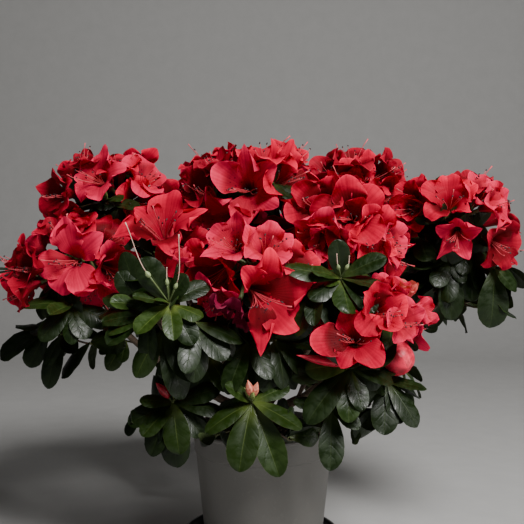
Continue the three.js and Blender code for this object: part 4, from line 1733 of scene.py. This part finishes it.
for bloom in blooms:
    bloom["axes"] = flower_frame(bloom, rng)
    if bloom["kind"] == "ball":
        continue
    kind = KINDS[bloom["kind"]]
    opened = math.radians(rng.uniform(*kind["open"]))
    by_hand = bloom["lobes"]
    light_share = LIGHT_SHARE_BY_HAND if by_hand else LIGHT_SHARE
    crumpled = 2.0 if bloom["kind"] == "withered" else 1.0
    for k in range(LOBES):
        point = max(0.0, 1.3 * rng.standard_normal() - 0.4)
        turn = math.pi / 2 + 2 * math.pi * k / LOBES + 0.16 * rng.standard_normal()
        lobe, wide = 29.0 * rng.uniform(0.90, 1.10), rng.uniform(12.6, 15.8)
        opens = opened + math.radians(10) * rng.standard_normal()
        curl = math.radians(rng.uniform(*kind["curl"]))
        if by_hand:
            turn, opens, lobe, wide, point, curl = by_hand[k]
            turn, opens, curl = math.radians(turn), math.radians(opens), math.radians(curl)
        sharp = min(point / 3.5, 1.0)
        add_petal(
            bloom,
            turn=turn, tube=15.0, lobe=lobe, lean=math.radians(20), start=2.2, share=1.12, open=opens,
            curl=curl, wide=wide, taper=rng.uniform(0.04, 0.20) + 0.35 * sharp,
            round=rng.uniform(0.34, 0.46) + 0.20 * sharp,
            cup=rng.uniform(*kind["cup"]) * MM, ruffle=rng.uniform(1.1, 2.9) * crumpled,
            waves=rng.uniform(2.8, 6.2), phase=rng.uniform(0, 2 * math.pi),
            twist=0.07 + 0.10 * rng.standard_normal(), notch=-point if sharp > 0.1 else rng.uniform(0, 1.8),
            tile=SPOTTED_TILE if k == 0 else any_tile(light_share, rng),
        )
    double = rng.random() < DOUBLE_SHARE and opened > WIDE_OPEN and not by_hand
    for k in range(LOBES if double else 0):
        if rng.random() < 0.16:
            continue
        add_petal(
            bloom,
            turn=math.pi / 2 + 2 * math.pi * (k + 0.5) / LOBES + 0.16 * rng.standard_normal(),
            tube=14.0, lobe=rng.uniform(18.0, 26.0), lean=math.radians(11), start=1.4, share=1.0,
            open=opened - math.radians(rng.uniform(14, 40)), curl=math.radians(rng.uniform(-26, 46)),
            wide=rng.uniform(8.6, 11.6), taper=rng.uniform(0.2, 0.45), round=rng.uniform(0.26, 0.42),
            cup=rng.uniform(5, 55) * MM, ruffle=rng.uniform(0.6, 1.4), waves=rng.uniform(3.0, 6.0),
            phase=rng.uniform(0, 2 * math.pi), twist=0.16 * rng.standard_normal(), notch=rng.uniform(-1, 1),
            tile=any_tile(LIGHT_SHARE, rng),
        )
    for k in range(int(rng.integers(0, 4)) if double else 0):
        add_petal(
            bloom,
            turn=rng.uniform(0, 2 * math.pi),
            tube=13.0, lobe=rng.uniform(9.0, 16.0), lean=math.radians(6), start=0.8, share=0.8,
            open=math.radians(rng.uniform(12, 60)), curl=math.radians(rng.uniform(-30, 50)),
            wide=rng.uniform(4.0, 6.5), taper=0.5, round=rng.uniform(0.15, 0.35),
            cup=rng.uniform(20, 90) * MM, ruffle=rng.uniform(0.6, 1.3), waves=rng.uniform(3.0, 5.0),
            phase=rng.uniform(0, 2 * math.pi), twist=0.25 * rng.standard_normal(), notch=0.0, tile=INNER_TILE,
        )
print("petals:", len(petals))

# %% Petal finish
def petal_material(name, throat, body, edge, spot, vein_colour, glow):
    """A thin petal: deep in the throat and light at the edge, partly as painted shade and light, finely
    veined, with light passing through.
    """
    material, g, shader = new_material(name)
    veins = g.use(vein_group, Slant=-0.55, Count=9.0, Width=0.20, Midrib=0.10)
    along, across, place = veins["Along"], veins["Across"], veins["Place"]
    aside = g.math("ABSOLUTE", across)
    cloud = grain(g, place, 7.0, 0.5)
    fine = grain(g, place, 60.0, 0.6)

    def on_tile(tile, strength):
        """This strength on the petals that use the tile, and nothing on the others."""
        return g.times(g.math("COMPARE", veins["Tile"], float(tile)), strength)

    # Deep in the throat, lighter towards the edge, and palest along the rim. The deep throat is partly the
    # petal's own colour and partly painted shade deep in the funnel; the far lighter edge is partly painted
    # light.
    colour = g.mix(g.spread(along, 0.12, 0.46), throat, body)
    toward_edge = g.spread(g.math("ADD", along, g.times(cloud, 0.35)), 0.78, 1.26)
    colour = g.mix(toward_edge, colour, edge)
    side_rim = g.spread(aside, 0.88, 1.0, 0.0, 0.6)
    tip_rim = g.spread(along, 0.965, 1.0, 0.0, 0.6)
    rim = tuple(min(1, 1.1 * part + 0.04) for part in edge)
    colour = g.mix(g.math("MAXIMUM", side_rim, tip_rim), colour, rim)
    colour = g.mix(on_tile(LIGHT_TILE, 0.30), colour, edge)
    # Inner petals take a share of the throat's colour, with its painted shade.
    colour = g.mix(on_tile(INNER_TILE, 0.25), colour, throat)

    # Fine streaks fan out from the foot, and a darker line follows the middle.
    fan = g.times(across, g.math("SUBTRACT", 1.5, along))
    streak_place = g.node("ShaderNodeCombineXYZ", {"X": fan, "Y": g.times(along, 0.25)}).outputs[0]
    streaks = g.node(
        "ShaderNodeTexWave",
        {"Vector": streak_place, "Scale": 2.6, "Distortion": 3.5, "Detail": 3.0, "Detail Scale": 1.6},
        wave_type="BANDS", bands_direction="X",
    ).outputs["Fac"]
    colour = g.mix(g.times(g.spread(streaks, 0.55, 0.95), 0.12), colour, vein_colour)
    colour = g.mix(g.times(veins["Midrib"], 0.35), colour, vein_colour)

    # The upper lobe carries a field of dark dots.
    dot_place = g.node("ShaderNodeMapping", {"Vector": place, "Scale": (TILES * 9.0, 16.0, 1.0)}).outputs[0]
    dots = g.node("ShaderNodeTexVoronoi", {"Vector": dot_place, "Scale": 1.0, "Randomness": 0.9})
    dot = g.spread(dots.outputs["Distance"], 0.16, 0.30, 1.0, 0.0)
    zone = g.times(g.spread(along, 0.30, 0.40), g.spread(along, 0.62, 0.76, 1.0, 0.0))
    zone = g.times(zone, g.spread(aside, 0.30, 0.62, 1.0, 0.0))
    zone = g.times(zone, on_tile(SPOTTED_TILE, 1.0))
    colour = g.mix(g.times(zone, 0.55), colour, throat)
    colour = g.mix(g.times(dot, g.times(zone, 0.85)), colour, spot)

    relief = g.math("ADD", g.times(streaks, -0.5), g.times(fine, 0.4))
    normal = g.bump(relief, 0.26, 0.0006)
    rough = g.spread(fine, 0.3, 0.7, 0.40, 0.60)
    g.feed(shader, {"Base Color": colour, "Roughness": rough, "Specular IOR Level": 0.04, "Normal": normal})
    passed = g.node("ShaderNodeBsdfTranslucent", {"Color": colour, "Normal": normal})
    both = g.node("ShaderNodeMixShader", {0: glow, 1: shader.outputs[0], 2: passed.outputs[0]})
    g.feed(material.node_tree.nodes["Material Output"], {"Surface": both.outputs[0]})
    return material


# Each: throat, body, edge, dots and veins, and how much light passes through.
petal_finishes = {kind: petal_material(f"petal_{kind}", *values) for kind, values in {
    "coral": (
        (0.075, 0.0018, 0.0040), (0.165, 0.0052, 0.0098), (0.92, 0.0050, 0.060), (0.05, 0.0, 0.005),
        (0.20, 0.0040, 0.011), 0.24,
    ),
    # Painted light: a brighter body and a brighter, pinker edge than coral, partly a pinker tone.
    "rose": (
        (0.125, 0.0028, 0.0090), (0.470, 0.0130, 0.037), (0.98, 0.0200, 0.105), (0.06, 0.0, 0.007),
        (0.25, 0.0045, 0.019), 0.24,
    ),
    # Painted shade: coral's colours, darker at the edge and in the veins, with less light passing through.
    "crimson": (
        (0.065, 0.0016, 0.0036), (0.165, 0.0050, 0.0098), (0.48, 0.0060, 0.032), (0.03, 0.0, 0.003),
        (0.12, 0.0025, 0.006), 0.20,
    ),
    "pale": (
        (0.62, 0.10, 0.05), (0.82, 0.11, 0.12), (0.92, 0.26, 0.20), (0.30, 0.02, 0.03),
        (0.60, 0.06, 0.07), 0.24,
    ),
    "withered": (
        (0.06, 0.001, 0.009), (0.11, 0.002, 0.018), (0.22, 0.008, 0.040), (0.05, 0.0, 0.006),
        (0.07, 0.001, 0.008), 0.12,
    ),
}.items()}

# %% Make the petals
petal_faces = grid_faces(len(PETAL_ROWS) - 1, len(PETAL_COLUMNS) - 1)
petals_each = MOST_TRIANGLES // (2 * len(petal_faces))


def gather_petals(chosen):
    """One heap of these petals."""
    keys = [key for key in chosen[0] if key not in ("finish", "tile")]
    values = {key: np.array([petal[key] for petal in chosen], float) for key in keys}
    heap = Heap()
    tiles = [petal["tile"] for petal in chosen]
    heap.add(petal_points(values), petal_faces, blade_places(PETAL_ROWS, PETAL_COLUMNS, tiles))
    return heap


for finish, material in petal_finishes.items():
    chosen = [petal for petal in petals if petal["finish"] == finish]
    for part, first in enumerate(range(0, len(chosen), petals_each)):
        heap = gather_petals(chosen[first : first + petals_each])
        stands_for = petal_masses if finish == "coral" and part == 0 else ()
        make_piece(f"petals_{finish}_{part + 1}", heap, material, stands_for)

# %% [markdown]
# ## Stamens, pistils and flower stalks
#
# A thin pale red filament carries each dark anther. They leave the throat together, sink a little towards the
# lower lobe and rise again at the tips. Every flower also stands on a short stalk that springs from its
# shoot's tip.

# %% Filaments and anthers
FILAMENT_STEPS = 8
ANTHER_STEPS = 4
STALK_STEPS = 8
CLOSED_KINDS = ("tube", "withered", "cup", "pale", "ball")
rng = np.random.default_rng(66)
filament_paths, anther_paths, style_paths, stalk_paths = [], [], [], []
for bloom in blooms:
    x, y, z = bloom["axes"]
    scale = bloom["scale"] * MM
    closed = bloom["kind"] in CLOSED_KINDS
    count = 0 if closed else int(rng.integers(3, 6) if bloom["ruled"] else rng.integers(5, 9))
    t = np.linspace(0, 1, FILAMENT_STEPS)[:, None]
    for k in range(0 if closed else count + 1):
        style = k == count
        long = (46 if style else rng.uniform(28, 41)) * scale
        spread = math.radians(rng.uniform(-52, 52))
        sink = rng.uniform(0.05, 0.42)
        path = bloom["foot"] + z * (2 * MM + long * t * (1 - 0.10 * t**2))
        path = path + x * long * 0.55 * math.sin(spread) * t**1.6
        path = path + y * long * (-sink * t**1.3 + 0.55 * sink * t**3.4)
        if style:
            style_paths.append(path)
            continue
        filament_paths.append(path)
        tip, way = path[-1], unit(path[-1] - path[-2])
        lie = unit(way + 0.9 * rng.standard_normal(3))
        anther_paths.append(tip + lie * np.linspace(-1.1, 1.1, ANTHER_STEPS)[:, None] * scale)
    hub = hubs[bloom["hub"]]
    away = bloom["foot"] - hub["spot"]
    stalk_paths.append(one_bezier((
        hub["spot"], hub["spot"] + away * 0.35, bloom["foot"] - z * 6 * MM, bloom["foot"] + z * 1.5 * MM,
    ), STALK_STEPS))

style_radii = np.linspace(0.42, 0.30, FILAMENT_STEPS) * MM
style_radii[-1] = 0.62 * MM
filaments, anthers, stalks = Heap(), Heap(), Heap()
add_tubes(filaments, filament_paths, np.linspace(0.36, 0.22, FILAMENT_STEPS) * MM, 4)
add_tubes(filaments, style_paths, style_radii, 4)
add_tubes(anthers, anther_paths, np.array([0.30, 0.62, 0.62, 0.30]) * MM, 6)
add_tubes(stalks, stalk_paths, np.linspace(0.75, 1.9, STALK_STEPS) * MM, 8)
print("filaments:", len(filament_paths), "styles:", len(style_paths), "stalks:", len(stalk_paths))

# %% Finishes of stamens and stalks
def grained(name, dark, light, scale, roughness):
    """A small plain part with a mottled colour and a fine relief, mapped along itself."""
    material, g, shader = new_material(name)
    mottle = grain(g, g.on_map(), scale, 0.6)
    g.feed(shader, {
        "Base Color": mottled(g, mottle, dark, light), "Roughness": roughness,
        "Normal": g.bump(mottle, 0.3, 0.0003),
    })
    return material


filament_red = grained("filament_red", (0.50, 0.032, 0.05), (0.74, 0.10, 0.12), 6.0, 0.45)
anther_dark = grained("anther_dark", (0.010, 0.004, 0.006), (0.045, 0.018, 0.020), 6.0, 0.6)
stalk_green = grained("stalk_green", (0.050, 0.090, 0.024), (0.11, 0.13, 0.045), 7.0, 0.55)
make_piece("filaments", filaments, filament_red)
make_piece("anthers", anthers, anther_dark)
make_piece("flower_stalks", stalks, stalk_green)
make_piece("twigs", twig_heap, twig_bark)

# %% [markdown]
# ## Buds and old flowers
#
# Some shoots carry what is left of a dropped flower: a stalk, a pale calyx and a long bare style. Others
# carry closed buds, whose petals are wrapped round each other.

# %% Where they stand
# Old flowers, each: turn and lift of its stalk, the stalk's length, then turn, lift and length of its style.
OLD_FLOWERS = {
    "left_shoot": [(212, 52, 25, 213, 66, 40), (312, 56, 13, 285, 74, 38), (262, 72, 14, 275, 80, 9)],
    "right_front": [(236, 58, 15, 222, 60, 19), (312, 54, 14, 292, 66, 16)],
    "right_shoot": [(250, 45, 9, 250, 70, 9), (305, 50, 8, 290, 75, 7)],
}
# Buds, each: turn and lift, the stalk's length, the bud's length and radius, and its kind. Lengths are in
# millimetres.
BUDS = {
    "low_left": [(200, 50, 5, 17, 3.4, "crimson"), (300, 60, 4, 9, 1.8, "green")],
    "low_front": [
        (245, 66, 5, 14, 3.1, "peach"), (300, 62, 5, 13, 2.8, "peach"), (275, 45, 3, 9, 2.0, "green"),
        (180, 60, 3, 9, 1.8, "green"),
    ],
    "upper_left": [(212, 30, 3, 12, 2.0, "green"), (262, 40, 3, 12, 2.0, "green")],
    "right_front": [(185, 13, 7, 36, 3.6, "coral")],
}
BUD_RINGS, BUD_SIDES = 15, 24
STALK_RINGS, STALK_SIDES = 6, 8
STYLE_RADII = np.array([0.34] * 5 + [0.28] * 4 + [0.52]) * MM
CALYX_LENGTH = 6.2 * MM
BALL_LENGTH = 29 * MM
BALL_RADIUS = 13.2 * MM


def add_stalk(heap, foot, way, reach, thin, thick):
    """A straight stalk that thickens towards its tip."""
    path = foot + way * np.linspace(0, reach, STALK_RINGS)[:, None]
    add_tubes(heap, [path], np.linspace(thin, thick, STALK_RINGS), STALK_SIDES)


def add_bud(heap, foot, way, length, radius, turns=2.2, fine=1, blunt=1.0, step=0.20):
    """A closed bud: three petals wrapped round each other and drawn to a soft tip."""
    rings, sides = fine * BUD_RINGS, fine * BUD_SIDES
    share = np.linspace(0, 1, rings)[:, None]
    angle = 2 * math.pi * np.arange(sides)[None, :] / sides
    outline = (0.34 + 0.66 * np.sin(math.pi * share**0.8) ** blunt) * (1 - share ** (5 / blunt)) + 0.06
    lap = (3 * angle / (2 * math.pi) + 0.25 * turns * share) % 1
    wrapped = 1 - step * lap**1.5 * ease(share / 0.3)
    first, second = square_pair(way)
    around = np.cos(angle)[..., None] * first + np.sin(angle)[..., None] * second
    points = foot + way * length * share[..., None] + (radius * outline * wrapped)[..., None] * around
    heap.add(points.reshape(1, -1, 3), tube_faces(rings, sides), tube_places(rings, sides))


old_stalks, calyxes, old_styles = Heap(), Heap(), Heap()
buds = {"crimson": Heap(), "coral": Heap(), "peach": Heap(), "green": Heap()}
for name, rows in OLD_FLOWERS.items():
    foot = hubs[laid_hubs[name]]["spot"]
    for turn, lift, reach, style_turn, style_lift, style_reach in rows:
        way = heading(turn, lift)
        rise = heading(style_turn, style_lift)
        top = foot + way * reach * MM
        add_stalk(old_stalks, foot, way, reach * MM, 0.55 * MM, 0.8 * MM)
        add_bud(calyxes, top, way, CALYX_LENGTH, (2.0 if reach > 20 else 1.5) * MM, 0.0)
        start, span = top + way * 5 * MM, style_reach * MM
        third = start + rise * span * 0.7 + UP * span * 0.05
        style = one_bezier((start, start + way * span * 0.3, third, start + rise * span), len(STYLE_RADII))
        add_tubes(old_styles, [style], STYLE_RADII, 6)
for name, rows in BUDS.items():
    foot = hubs[laid_hubs[name]]["spot"]
    for turn, lift, reach, length, radius, kind in rows:
        way = heading(turn, lift)
        add_stalk(old_stalks, foot, way, reach * MM, 0.7 * MM, 1.1 * MM)
        add_bud(buds[kind], foot + way * reach * MM, way, length * MM, radius * MM)
for bloom in blooms:
    if bloom["kind"] == "ball":
        foot, way = bloom["foot"], bloom["face"]
        add_bud(buds["coral"], foot, way, BALL_LENGTH, BALL_RADIUS, fine=2, blunt=0.45, step=0.11)
print("old flowers:", len(calyxes.points), "buds:", sum(len(heap.points) for heap in buds.values()))

# %% Finishes and pieces of buds and old flowers
calyx_green = grained("calyx_green", (0.17, 0.24, 0.09), (0.34, 0.40, 0.20), 5.0, 0.5)
style_pale = grained("style_pale", (0.62, 0.36, 0.30), (0.78, 0.54, 0.44), 5.0, 0.45)
# Painted shade: the dark red bud is the coral bud at about half its brightness.
bud_shaded_coral = grained("bud_shaded_coral", (0.17, 0.002, 0.010), (0.42, 0.012, 0.032), 5.0, 0.45)
bud_coral = grained("bud_coral", (0.36, 0.008, 0.024), (0.86, 0.016, 0.070), 5.0, 0.45)
bud_peach = grained("bud_peach", (0.52, 0.10, 0.06), (0.78, 0.30, 0.20), 5.0, 0.5)
bud_green = grained("bud_green", (0.11, 0.16, 0.035), (0.24, 0.29, 0.08), 5.0, 0.5)
make_piece("old_stalks", old_stalks, stalk_green)
make_piece("calyxes", calyxes, calyx_green)
make_piece("old_styles", old_styles, style_pale)
make_piece("buds_shaded_coral", buds["crimson"], bud_shaded_coral)
make_piece("buds_coral", buds["coral"], bud_coral)
make_piece("buds_peach", buds["peach"], bud_peach)
make_piece("buds_green", buds["green"], bud_green)

# %% [markdown]
# ## The size against the CAD's box
#
# Both boxes are printed side by side, with how far the visual model reaches past the CAD's box at each end.
# The visual model has to stay close to the CAD's box.

# %% Sizes
low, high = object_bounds()
print("visual box, mm:", [round(1000 * side) for side in high - low])
for end, over in (("low", cad_low - low), ("high", high - cad_high)):
    print(f"over the CAD box at the {end} end, mm:", [round(1000 * side) for side in over])
